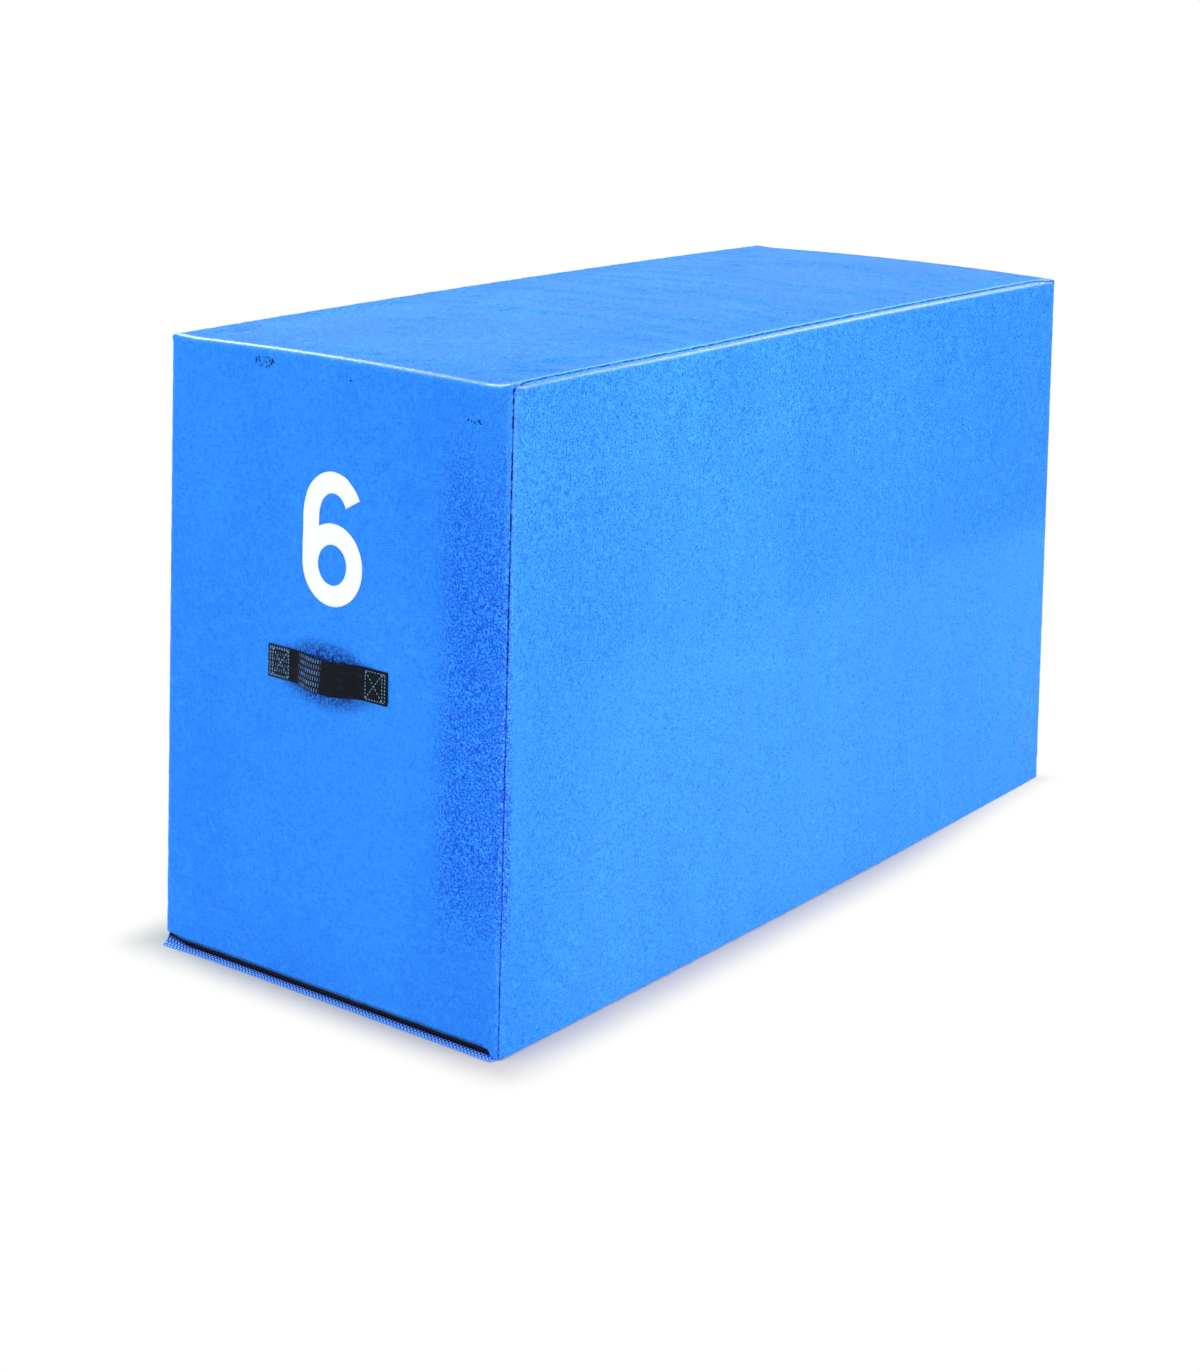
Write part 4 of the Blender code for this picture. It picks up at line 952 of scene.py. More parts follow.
def solid_faces(points, rows, around):
    """The quads and two caps of a solid whose points run round each row, turned so that they look
    outwards. The volume is a sum over triangles: a sixth of corner one dotted with the cross of the rest."""
    quads = grid_quads(rows, around, round_columns=True)
    caps = np.stack([np.arange(around)[::-1], np.arange(around) + (rows - 1) * around])
    first = np.broadcast_to(caps[:, :1], caps[:, 2:].shape)
    fans = np.stack([first, caps[:, 1:-1], caps[:, 2:], caps[:, 2:]], -1).reshape(-1, 4)
    a, b, c, d = np.moveaxis(points.reshape(-1, 3)[np.concatenate([quads, fans])], 1, 0)
    volume = (a * (np.cross(b, c) + np.cross(c, d))).sum() / 6
    return (quads, caps) if volume > 0 else (quads[:, ::-1], caps[:, ::-1])


def add_solid(name, sections, *looks, **more):
    """A closed piece through rows of points that run round a section."""
    quads, caps = solid_faces(sections, *sections.shape[:2])
    return add_piece(name, sections, quads.tolist() + caps.tolist(), *looks, **more)


def add_copies(name, places, along, out, shape, *looks):
    """Copies of one small solid in one piece. The solid's points are given as (along, out, beside), and
    every copy has its own place, its own way along and its own way out."""
    basis = np.stack([along, out, np.cross(along, out)], 1)
    points = places[:, None] + np.einsum("pk,nkx->npx", shape.reshape(-1, 3), basis)
    quads, caps = solid_faces(shape, *shape.shape[:2])
    start = np.arange(len(places))[:, None, None] * points.shape[1]
    faces = (quads + start).reshape(-1, 4).tolist() + (caps + start).reshape(-1, shape.shape[1]).tolist()
    return add_piece(name, points, faces, *looks)


print("solids are closed and look outwards")

# %% [markdown]
# Foam and underside
#
# Inside are three soft slabs bonded into one block, pale and open-celled, under a grey sheet of firmer foam
# that takes the landings. The underside is a rectangle of rubbery cloth with raised dots and a blue rim.
# All five are the same shape, rings of a rounded outline that go up the side and close over both faces.

# %% Foam and rubber finishes
soft_foam = Finish("open cell foam", Roughness=0.95, Specular_IOR_Level=0.15)
cells = soft_foam.noise(900.0, 4.0, 0.7)
cream = soft_foam.noise(14.0, 3.0).remap(0.35, 0.7).mix((0.86, 0.82, 0.68, 1), (0.78, 0.73, 0.56, 1))
soft_foam.set(Base_Color=cells.remap(0.60, 0.42).mix(cream, (0.50, 0.45, 0.32, 1)))
soft_foam.set(Normal=cells.bump(0.0012, 0.8))

firm_foam = Finish("closed cell foam", Roughness=0.8, Specular_IOR_Level=0.25)
beads = {"Vector": firm_foam.place, "Scale": 330.0}
edges = firm_foam.made("TexVoronoi", beads, "Distance", feature="DISTANCE_TO_EDGE").remap(0.0, 0.10)
firm_foam.set(Base_Color=edges.mix((0.20, 0.22, 0.25, 1), (0.36, 0.39, 0.43, 1)))
firm_foam.set(Normal=edges.bump(0.0004, 0.6))

GRIP_DOT_PITCH = 0.011
grip_cloth = Finish("dotted grip cloth", Roughness=0.7, Specular_IOR_Level=0.4)
slanted = grip_cloth.stretched((1, 1, 0), (0, 0, math.pi / 4))
dots = {"Vector": slanted, "Scale": 1 / GRIP_DOT_PITCH, "Randomness": 0.0}
raised = grip_cloth.made("TexVoronoi", dots, "Distance").remap(0.30, 0.22)
rubber = raised.mix((0.055, 0.060, 0.070, 1), (0.12, 0.13, 0.15, 1))
weave = grip_cloth.noise(900.0).bump(0.0002, 0.5)
grip_cloth.set(Base_Color=grip_cloth.mark("rim").mix(rubber, COVER_BLUE))
grip_cloth.set(Normal=raised.bump(0.0006, 0.9, weave))
print("3 finishes for what lies inside and under")

# %% Slabs
FOAM_INSET, FOAM_CORNER, FOAM_EDGE, TOP_LAYER_EDGE = 0.0026, 0.020, 0.0015, 0.009
FOAM_FOOT_CHAMFER, FOAM_FOOT_RISE = 0.008, 0.034
FOAM_TOP, TOP_LAYER_THICKNESS = BODY_HEIGHT - 0.0028, 0.0412
FOAM_JOINTS = (PANEL_FOOT + 0.0003, 0.300, 0.600, FOAM_TOP - TOP_LAYER_THICKNESS)
BASE_INSET, BASE_CORNER, BASE_EDGE = 0.003, 0.018, 0.0005
CAP_RINGS = np.array([0.04, 0.20, 0.40, 0.60, 0.80, 0.93])


def block_outline(inset, corner):
    """The block's plan set in by inset, each an array over the rings: four quarter circles of the corner
    radius, and points at even shares of the straight runs between them."""
    sweep = np.linspace(0, math.pi / 2, 7) + np.arange(4)[:, None] * math.pi / 2
    middle = np.stack([HALF_WIDTH - inset - corner, HALF_LENGTH - inset - corner], -1)[:, None, None]
    side = np.array([(1, 1), (-1, 1), (-1, -1), (1, -1)])[:, None]
    arcs = middle * side + corner * np.stack([np.cos(sweep), np.sin(sweep)], -1)
    share = np.linspace(0, 1, 16)[1:-1, None]
    runs = arcs[:, :, -1:] + (np.roll(arcs, -1, 1)[:, :, :1] - arcs[:, :, -1:]) * share
    return np.concatenate([arcs, runs], 2).reshape(len(inset), -1, 2)


def slab(foot, head, inset, corner, edge, chamfer=0.0, step=0.02):
    """A slab's rings: over the foot, round its edge by a quarter circle, up the side, round the upper
    edge and over the head. The chamfer narrows the lowest part in a straight line."""
    turn = np.linspace(0, math.pi / 2, 5)
    side = even(foot + edge, head - edge, step)[1:-1]
    z = np.concatenate([foot + edge * (1 - np.cos(turn)), side, head - edge * (1 - np.sin(turn))])
    retreat = np.concatenate([edge * (1 - np.sin(turn)), 0 * side, edge * (1 - np.cos(turn))])
    rings = block_outline(inset + retreat + chamfer * np.clip(1 - (z - foot) / FOAM_FOOT_RISE, 0, 1), corner)
    shares = CAP_RINGS[:, None, None]
    rings = np.concatenate([rings[:1] * shares, rings, rings[-1:] * shares[::-1]])
    z = np.concatenate([foot + 0 * CAP_RINGS, z, head + 0 * CAP_RINGS])
    return settled(stacked(rings[..., 0], rings[..., 1], z[:, None]))


for name, foot, head, chamfer in zip(FOAM, FOAM_JOINTS, FOAM_JOINTS[1:], (FOAM_FOOT_CHAMFER, 0, 0)):
    rings = slab(foot, head - FIT_GAP, FOAM_INSET, FOAM_CORNER, FOAM_EDGE, chamfer)
    add_solid(name + "_block", rings, soft_foam, "soft_foam", [name])
rings = slab(FOAM_JOINTS[-1], FOAM_TOP, FOAM_INSET, FOAM_CORNER, TOP_LAYER_EDGE, step=0.008)
add_solid(FOAM[-1] + "_block", rings, firm_foam, "firm_foam", FOAM[-1:])

rings = slab(0.0, BASE_THICKNESS, BASE_INSET, BASE_CORNER, BASE_EDGE, step=0.0002)
rim = np.zeros(rings.shape[:2])
rim[len(CAP_RINGS) : -len(CAP_RINGS)] = 1
base = add_solid("cover_base_cloth", rings, grip_cloth, "grip_underside", ["cover_base"], marks={"rim": rim})

# %% [markdown]
# The printed number
#
# The numeral was screen printed on the front: a white film that follows every swell of the cloth. One of
# its grids is the closed bowl, a ring between two ellipses. The other is the stem with its hook, whose
# lowest row is a stretch of the bowl's rim, point for point, so that the two join as one film.

# %% Print finish
number_print = Finish("white screen print", Roughness=0.5, Specular_IOR_Level=0.35)
thinned = number_print.noise(60.0, 5.0, 0.65).remap(0.60, 0.74)
number_print.set(Base_Color=thinned.mix((0.97, 0.97, 0.97, 1), (0.90, 0.92, 0.95, 1)))
number_print.set(Normal=number_print.noise(700.0).bump(0.00015, 0.3))
print("white screen print")

# %% The number on the front
NUMBER_HEIGHT, NUMBER_WIDTH, NUMBER_STROKE = 0.184, 0.110, 0.029
NUMBER_BOWL_HEIGHT, NUMBER_CROWN_HEIGHT = 0.114, 0.0635
NUMBER_TERMINAL = math.radians(29)
NUMBER_OFFSET, NUMBER_FOOT = 0.0075, 0.5668
PRINT_THICKNESS, PRINT_LIFT = 0.0003, 0.0006
STROKE_CELLS, STEM_CELLS, HOOK_CELLS, BOWL_CELLS = 8, 5, 26, 44


def between(inner, outer, cells):
    """Rows of points at even shares of the way from one row to another."""
    return inner[None] + (outer - inner)[None] * np.linspace(0, 1, cells + 1)[:, None, None]


def ellipse(centre_z, radii, angles):
    """Points (x, z) of an ellipse on the middle line."""
    return np.stack([radii[0] * np.cos(angles), centre_z + radii[1] * np.sin(angles)], -1)


def number_film():
    """Points (x, z) and faces of the numeral about its upright middle line."""
    half, bowl = NUMBER_WIDTH / 2, NUMBER_BOWL_HEIGHT / 2
    inner, hole = half - NUMBER_STROKE, bowl - NUMBER_STROKE
    crotch = math.acos(-inner / half)
    shared = np.linspace(math.pi, crotch, STROKE_CELLS + 1)
    angles = np.concatenate([shared, np.linspace(crotch, -math.pi, BOWL_CELLS + 1)[1:-1]])
    ring = between(ellipse(bowl, (inner, hole), angles), ellipse(bowl, (half, bowl), angles), STROKE_CELLS)
    crown, sweep = NUMBER_HEIGHT - NUMBER_CROWN_HEIGHT, np.linspace(math.pi, NUMBER_TERMINAL, HOOK_CELLS + 1)
    outside = ellipse(crown, (half, NUMBER_CROWN_HEIGHT), sweep)
    inside = ellipse(crown, (inner, NUMBER_CROWN_HEIGHT - NUMBER_STROKE), sweep)
    hook = between(outside, inside, STROKE_CELLS).swapaxes(0, 1)
    stem = between(ring[-1, : STROKE_CELLS + 1], hook[0], STEM_CELLS)[1:-1]
    index = np.arange(ring.shape[0] * ring.shape[1]).reshape(ring.shape[:2])
    stem_index = index.size + np.arange((STEM_CELLS + HOOK_CELLS) * (STROKE_CELLS + 1))
    stem_index = np.concatenate([index[-1:, : STROKE_CELLS + 1], stem_index.reshape(-1, STROKE_CELLS + 1)])
    faces = [index_quads(np.concatenate([index, index[:, :1]], 1)), index_quads(stem_index)]
    points = np.concatenate([part.reshape(-1, 2) for part in (ring, stem, hook)])
    return points, np.concatenate(faces)[:, ::-1]


def on_end(end, across, out, height):
    """Places on the front (-1) or back (+1) of the straight box, seen from outside."""
    return stacked(-end * np.asarray(across), end * (HALF_LENGTH + out), height)


film, film_faces = number_film()
film_x, film_z = film[:, 0] + NUMBER_OFFSET, film[:, 1] + NUMBER_FOOT
film = settled(on_end(-1, film_x, PRINT_LIFT + face_lift("front", film_x, film_z), film_z))
number = add_piece("size_number_print", film, film_faces, number_print, "white_print", ["size_number"])
print_body = number.modifiers.new("thickness", "SOLIDIFY")
print_body.thickness = PRINT_THICKNESS
print_body.offset = -1

# %% [markdown]
# The webbing handles
#
# Each handle is a length of 47 mm webbing, sewn flat at both ends, with a loop for the hand between. Its
# thick yarns run along it and dip under the weft by turns, so its face is rows of short bars, each row half
# a bar on from the next. That weave is real relief here: a bulge across each yarn times a wave along it.

# %% Webbing and thread finishes
webbing = Finish("black webbing", Roughness=0.60, Specular_IOR_Level=0.06)
fibre = webbing.noise(1.0, 3.0, 0.6, webbing.stretched((2600, 260, 1), vector=webbing.cloth()))
rubbed = webbing.noise(1.0, 2.0, 0.5, webbing.stretched((60, 140, 1), vector=webbing.cloth()))
dark = fibre.remap(0.40, 0.62).mix((0.002, 0.003, 0.006, 1), (0.008, 0.010, 0.018, 1))
dark = rubbed.remap(0.56, 0.76, 0.0, 0.5).mix(dark, (0.020, 0.024, 0.036, 1))
# Pale blue on the bars along the loop's left ramp, weaker on its first sewn end: a painted highlight.
bar_highlight = webbing.mark("bar") * fibre.remap(0.30, 0.60, 0.35, 1.0)
webbing.set(Base_Color=bar_highlight.mix(dark, (0.180, 0.360, 0.780, 1)), Normal=fibre.bump(0.0002, 0.6))

pale_blues = (0.10, 0.26, 0.52, 1), (0.34, 0.52, 0.78, 1)
thread_grain = {"grain": 1500.0, "detail": 2.0, "depth": 0.0002, "strength": 0.5}
pale_thread = grained("pale blue thread", *pale_blues, **thread_grain, Roughness=0.55, Specular_IOR_Level=0.4)
print("webbing and thread")

# %% Webbing
WEBBING_WIDTH, WEBBING_THICKNESS = 0.047, 0.002
HANDLES = ((-1, "front_handle"), (1, "back_handle"))
HANDLE_LENGTH, HANDLE_SEWN_LENGTH = 0.220, 0.043
HANDLE_RISE, HANDLE_LEAN, HANDLE_SAG, HANDLE_RAMP = 0.0115, 0.003, 0.002, 0.40
HANDLE_OFFSET, HANDLE_HEIGHT, HANDLE_STAND = 0.0050, 0.4725, 0.0001
BAR_ROWS, ROW_CELLS = 6, 12
BAR_PITCH, BAR_CELLS = 0.0045, 5
BAR_RELIEF = 0.00035
# Where along the strap the bars carry a painted highlight, and how strongly on the first sewn end.
BAR_HIGHLIGHT_FROM, BAR_HIGHLIGHT_TO, BAR_HIGHLIGHT_EASE = 0.058, 0.112, 0.010
BAR_HIGHLIGHT_ON_END, END_EASE = 0.55, 0.006


def strap_line(across, end, up=0.0):
    """How far the strap's underside stands out, and how far it sags, at places across and up (-1 to 1). It
    lies on the cloth at its sewn ends and rises between them by an eased ramp, most at its lower edge."""
    loop = HANDLE_LENGTH / 2 - HANDLE_SEWN_LENGTH
    bow = smooth((loop - np.abs(across)) / (2 * loop * HANDLE_RAMP))
    face = "front" if end < 0 else "back"
    cloth = face_lift(face, -end * (across + HANDLE_OFFSET), HANDLE_HEIGHT + 0 * across)
    stand = FIT_GAP + HANDLE_STAND + cloth * (1 - bow)
    return stand + (HANDLE_RISE - HANDLE_LEAN * up) * bow, HANDLE_SAG * bow


def make_strap(end):
    """The strap's sections, up its face and down its back, with its looks. It thins at the selvedges by a
    high power of the distance from the middle. The bars are a sine along the strap, in rows that a second
    sine parts, every other row half a bar on."""
    across = even(-HANDLE_LENGTH / 2, HANDLE_LENGTH / 2, BAR_PITCH / BAR_CELLS)
    line, sag = strap_line(across, end)
    run, slope = run_along(stacked(across, line))[:, None], np.arctan(np.gradient(line, across))[:, None]
    up = np.linspace(-1, 1, BAR_ROWS * ROW_CELLS + 1)[None]
    row = (up + 1) / 2 * BAR_ROWS
    bulge = np.abs(np.sin(math.pi * row))
    bar = 0.5 + 0.5 * np.sin(2 * math.pi * run / BAR_PITCH + math.pi * np.floor(row))
    relief = BAR_RELIEF * bulge**0.4 * (0.15 + 0.85 * bar)
    half = WEBBING_THICKNESS / 2 * np.sqrt(1 - up**12)
    face = WEBBING_THICKNESS / 2 + half + (relief - BAR_RELIEF) * (half > 0)
    back = np.broadcast_to(WEBBING_THICKNESS / 2 - half, face.shape)[:, -2:0:-1]
    depth, up = np.concatenate([face, back], 1), np.concatenate([up, up[:, -2:0:-1]], 1)
    across, height = across[:, None], HANDLE_HEIGHT - sag[:, None] + up * WEBBING_WIDTH / 2
    out = strap_line(across, end, up)[0] + depth * np.cos(slope)
    points = settled(on_end(end, across - depth * np.sin(slope) + HANDLE_OFFSET, out, height))
    # where the bars are paler: a painted highlight
    where = smooth((run - BAR_HIGHLIGHT_FROM) / BAR_HIGHLIGHT_EASE) * smooth((BAR_HIGHLIGHT_TO - run) / BAR_HIGHLIGHT_EASE)
    where = np.maximum(where, BAR_HIGHLIGHT_ON_END * smooth((HANDLE_SEWN_LENGTH - run) / END_EASE))
    pale = where * smooth((bar - 0.70) / 0.25) * smooth((bulge - 0.35) / 0.3)
    marks = {"bar": np.concatenate([pale, 0 * back], 1)}
    return points, {"cloth": stacked(run, up * WEBBING_WIDTH / 2), "marks": marks}


for end, name in HANDLES:
    sections, details = make_strap(end)
    add_solid(name + "_strap", sections, webbing, "black_webbing", [name], **details)

# %% Box stitching on the sewn ends
STITCH_PITCH, STITCH_LENGTH = 0.0052, 0.0036
THREAD_WIDTH, THREAD_HEIGHT = 0.0011, 0.0008
BOX_INSET, BOX_DOUBLE = 0.0040, 0.0048


def stitch_shape(length, width, height, stations=5, around=6):
    """One stitch: an ellipse carried along a low arch, narrow at both ends where the thread dives in."""
    along = np.linspace(-1, 1, stations)[:, None]
    turn = np.linspace(0, 2 * math.pi, around, endpoint=False)[None]
    girth = np.sqrt(1 - 0.86 * along**2)
    out = height / 2 * (girth * np.cos(turn) - 0.8 * along**2)
    return stacked(length / 2 * along, out, width / 2 * girth * np.sin(turn))


def along_lines(starts, ends, pitch):
    """Middles of stitches a pitch apart on straight lines, with each line's way repeated."""
    counts = np.maximum(np.round(np.linalg.norm(ends - starts, axis=1) / pitch).astype(int), 1)
    line = np.repeat(np.arange(len(counts)), counts)
    order = np.arange(len(line)) - np.repeat(np.cumsum(counts) - counts, counts)
    share = ((order + 0.5) / counts[line])[:, None]
    return starts[line] + (ends - starts)[line] * share, unit((ends - starts)[line])


def box_lines():
    """A box, a second line at its outer end and its two diagonals, on both sewn ends of a strap."""
    far, near = HANDLE_LENGTH / 2 - BOX_INSET, HANDLE_LENGTH / 2 - HANDLE_SEWN_LENGTH + BOX_INSET
    top, inner = WEBBING_WIDTH / 2 - BOX_INSET, HANDLE_LENGTH / 2 - BOX_INSET - BOX_DOUBLE
    uprights = [(far, -top, far, top), (inner, -top, inner, top), (near, -top, near, top)]
    lengthwise = [(far, top, near, top), (far, -top, near, -top)]
    diagonals = [(inner, top, near, -top), (inner, -top, near, top)]
    lines = np.array(uprights + lengthwise + diagonals)
    lines = np.concatenate([lines, lines * (-1, 1, -1, 1)])
    return lines[:, :2], lines[:, 2:]


places, ways = along_lines(*box_lines(), STITCH_PITCH)
thread = stitch_shape(STITCH_LENGTH, THREAD_WIDTH, THREAD_HEIGHT)
for end, name in HANDLES:
    seat = strap_line(places[:, 0], end)[0] + WEBBING_THICKNESS - BAR_RELIEF * 0.3
    spots = settled(on_end(end, places[:, 0] + HANDLE_OFFSET, seat, HANDLE_HEIGHT + places[:, 1]))
    along = on_end(end, ways[:, 0], -HALF_LENGTH, ways[:, 1])
    face_out = np.broadcast_to((0.0, end, 0.0), spots.shape)
    add_copies(name + "_stitches", spots, along, face_out, thread, pale_thread, "blue_cover")

# %% Patches inside, behind the handles
PATCH_DEPTH, PATCH_THICKNESS, PATCH_MARGIN, PATCH_CORNER = 0.0015, 0.0009, 0.018, 0.010
PATCH_LENGTH, PATCH_WIDTH = HANDLE_LENGTH + 2 * PATCH_MARGIN, WEBBING_WIDTH + 2 * PATCH_MARGIN
backing = grained(
    "bare side of the coated fabric", (0.040, 0.20, 0.58, 1), (0.075, 0.32, 0.80, 1),
    grain=1300.0, detail=2.0, depth=0.0003, strength=0.6, Roughness=0.85, Specular_IOR_Level=0.2,
)


def make_patch(end):
    """Rows of a flat section across the patch, shorter at its ends so that the corners are round."""
    corner = PATCH_LENGTH / 2 - PATCH_CORNER + PATCH_CORNER * np.sin(np.linspace(0, 0.95, 6) * math.pi / 2)
    across = np.concatenate([-corner[::-1], even(-corner[0], corner[0], 0.01)[1:-1], corner])
    past = np.clip((np.abs(across) - corner[0]) / PATCH_CORNER, 0, 1)
    half = PATCH_WIDTH / 2 - PATCH_CORNER * (1 - np.sqrt(1 - past**2))
    up = np.linspace(-1, 1, 9)
    height = HANDLE_HEIGHT + np.concatenate([up, up[::-1]]) * half[:, None]
    depth = np.repeat([-PATCH_DEPTH, -PATCH_DEPTH - PATCH_THICKNESS], len(up))
    return settled(on_end(end, across[:, None] + HANDLE_OFFSET, depth, height))


for end, handle in HANDLES:
    name = handle + "_backing"
    patch = add_solid(name + "_patch", make_patch(end), backing, "backing_cloth", [name])

# %% [markdown]
# The zip and the hem
#
# The cover is closed like a pillowcase by a long zip, which starts at the right end of the front, turns the
# left corner and runs on to the back. A place on it is given by how far along the zip it is, how far out
# from the cover's face, and how high. The upper tape is sewn behind the edge of the panels and the lower
# one to a folded hem, which stands out as a small lip.

# %% The zip's way
ZIP_FRONT_RUN, ZIP_CORNER_RUN = 2 * CORE_X - HEM_RUN_OUT, EDGE_RADIUS * math.pi / 2
ZIP_LENGTH = ZIP_FRONT_RUN + ZIP_CORNER_RUN + 2 * CORE_Y - HEM_RUN_OUT
CORNER_CELLS, CORNER_INSET = 10, 0.0045
SMALL_STEP = 1e-4


def corner_angle(distance):
    """The angle through which the zip has turned round the left corner, from 0 to a quarter turn."""
    return np.clip((distance - ZIP_FRONT_RUN) / EDGE_RADIUS, 0, math.pi / 2)


def zip_place(distance, out, height):
    """Points at distances along the zip: straight along the front, by a quarter circle round the left
    corner, where it is drawn in a little, and straight back along the left side."""
    angle = corner_angle(distance)
    reach = EDGE_RADIUS + out - CORNER_INSET * np.sin(2 * angle) ** 2
    x = CORE_X - HEM_RUN_OUT - np.clip(distance, None, ZIP_FRONT_RUN) - reach * np.sin(angle)
    back = np.clip(distance - ZIP_FRONT_RUN - ZIP_CORNER_RUN, 0, None)
    return settled(stacked(x, back - CORE_Y - reach * np.cos(angle), height))


def zip_stations(step):
    """Distances along the zip, closer together round the corner."""
    corner = ZIP_FRONT_RUN + np.linspace(0, ZIP_CORNER_RUN, CORNER_CELLS + 1)
    return np.concatenate([even(0.0, corner[0], step)[:-1], corner, even(corner[-1], ZIP_LENGTH, step)[1:]])


def zip_frames(distance, out, height):
    """Places along the zip with the way along and the way out at each, by small differences."""
    place = zip_place(distance, out, height)
    ahead, behind = (zip_place(distance + step, out, height) for step in (SMALL_STEP, -SMALL_STEP))
    along = unit(ahead - behind)
    outwards = (zip_place(distance, out + SMALL_STEP, height) - place) * (1, 1, 0)
    return place, along, unit(outwards - along * (outwards * along).sum(-1, keepdims=True))


print("zip:", round(ZIP_LENGTH, 3), "m")

# %% Tape, teeth and metal finishes
tape_weave = Finish("black woven tape", Roughness=0.8, Specular_IOR_Level=0.06)
along_tape, across_tape, _ = tape_weave.cloth().axes()
threads = along_tape.wave(0.0008) * across_tape.wave(0.0011)
tape_weave.set(Base_Color=threads.remap(-0.6, 0.8).mix((0.003, 0.004, 0.008, 1), (0.010, 0.012, 0.024, 1)))
tape_weave.set(Normal=threads.bump(0.0002, 0.8))

scratched = {"detail": 3.0, "depth": 0.0001, "strength": 0.4}
plastic_shades = (0.004, 0.005, 0.010, 1), (0.018, 0.020, 0.040, 1)
plastic_looks = {"grain": 500.0, "Roughness": 0.45, "Specular_IOR_Level": 0.20}
moulded = grained("black moulded plastic", *plastic_shades, **scratched, **plastic_looks)
black_shades = (0.004, 0.006, 0.014, 1), (0.016, 0.022, 0.050, 1)
black_looks = {"grain": 700.0, "Roughness": 0.5, "Specular_IOR_Level": 0.1}
black_metal = grained("blackened metal", *black_shades, **scratched, **black_looks)

zip_metal = Finish("satin die cast metal", Metallic=1.0)
brushed = zip_metal.noise(1.0, 3.0, 0.6, zip_metal.stretched((4000, 500, 4000)))
tarnish = zip_metal.noise(220.0, 3.0).mix((0.42, 0.42, 0.43, 1), (0.66, 0.66, 0.67, 1))
zip_metal.set(Base_Color=tarnish, Roughness=brushed.remap(0.3, 0.7, 0.24, 0.42))
zip_metal.set(Normal=brushed.bump(0.00005, 0.4))
print("tape, plastic and metal")

# %% Tapes
LIP_UPSTAND, HEM_TUCK = 0.0062, 0.0008
CHAIN_HEIGHT, TAPE_THICKNESS, TAPE_SETBACK, TAPE_EDGE = 0.0113, 0.0006, 0.0033, 0.0005
TAPE_FLAP_TOP, TAPE_BEND, TAPE_STEP, TAPE_CELL = 0.030, 0.0185, 0.001, 0.005
TUCKED = -HEM_TUCK - FIT_GAP
TAPE_FACES = {
    "zip_tape_upper": [
        (-PATCH_DEPTH, TAPE_FLAP_TOP),
        (-PATCH_DEPTH, TAPE_BEND),
        (-TAPE_SETBACK, HEM_HEIGHT),
        (-TAPE_SETBACK, CHAIN_HEIGHT + TAPE_EDGE),
    ],
    "zip_tape_lower": [
        (-TAPE_SETBACK, CHAIN_HEIGHT - TAPE_EDGE),
        (-TAPE_SETBACK, LIP_UPSTAND + TAPE_STEP),
        (TUCKED, LIP_UPSTAND - TAPE_STEP),
        (TUCKED, PANEL_FOOT + FIT_GAP),
    ],
}


def tape_section(corners):
    """Rows of (out, height) up a tape's bent face and down its other one, with the cut edges thinned."""
    share = np.linspace(0, len(corners) - 1, 5 * (len(corners) - 1) + 1)
    face = np.stack([np.interp(share, np.arange(len(corners)), way) for way in np.transpose(corners)], -1)
    middle = face - (TAPE_THICKNESS / 2, 0)
    thin = np.where((share == 0) | (share == share[-1]), 0.5, 1.0)
    half = TAPE_THICKNESS / 2 * thin[:, None] * (1, 0)
    return np.concatenate([middle + half, (middle - half)[::-1]])


stations = zip_stations(TAPE_CELL)[:, None]
for name, face in TAPE_FACES.items():
    section = tape_section(face)
    looks = {"stands_for": [name], "cloth": stacked(stations, run_along(section))}
    tape = add_solid(name + "_weave", zip_place(stations, *section.T), tape_weave, "zip_tape", **looks)

# %% Teeth
TOOTH_PITCH, TOOTH_SEAT, TOOTH_DEPTH = 0.0030, -TAPE_SETBACK + 0.0014, 0.0021
TOOTH_LEVELS = np.array([0.0034, 0.0030, 0.0012, 0.0004, -0.0006, -0.0013])
TOOTH_WIDTHS = np.array([0.0014, 0.0019, 0.0017, 0.0009, 0.0013, 0.0008])
TOOTH_DEPTHS = TOOTH_DEPTH * np.array([0.70, 1.0, 0.95, 0.75, 0.80, 0.50])
STOP_INSET, STOP_LENGTH = 0.002, 0.004
SLIDER_FROM_END, SLIDER_HALF = 0.040, 0.010


def tooth_shape():
    """A moulded tooth from its root on the tape down to its tip: rounded rectangles that narrow to a neck
    and widen to a head."""
    turn = np.linspace(0, 2 * math.pi, 8, endpoint=False) + math.pi / 8
    corner = np.clip(np.stack([np.cos(turn), np.sin(turn)]) / np.cos(math.pi / 8), -1, 1)
    along, out = TOOTH_WIDTHS[:, None] / 2 * corner[0], TOOTH_DEPTHS[:, None] / 2 * corner[1]
    return stacked(along, out, TOOTH_LEVELS[:, None])


tooth_first = STOP_INSET + STOP_LENGTH + FIT_GAP + TOOTH_PITCH / 2
stop_end = ZIP_LENGTH - SLIDER_FROM_END + SLIDER_HALF + 2 * FIT_GAP
tooth_count = int((stop_end - FIT_GAP - tooth_first) / TOOTH_PITCH)
for name, way, shift in (("zip_teeth_upper", 1, 0.0), ("zip_teeth_lower", -1, TOOTH_PITCH / 2)):
    distance = tooth_first + shift + np.arange(tooth_count) * TOOTH_PITCH
    frames = zip_frames(distance, TOOTH_SEAT, CHAIN_HEIGHT)
    add_copies(name + "_row", *frames, tooth_shape() * (way, 1, way), moulded, "zip_teeth", [name])

# %% [markdown]
# Slider, pull tab and end stops
#
# The small metal parts already have their shapes as solids. Cast metal has no sharp edges, so each is
# copied, its doubled corners are merged, which makes it one closed skin, and a fine bevel is laid along
# its edges.

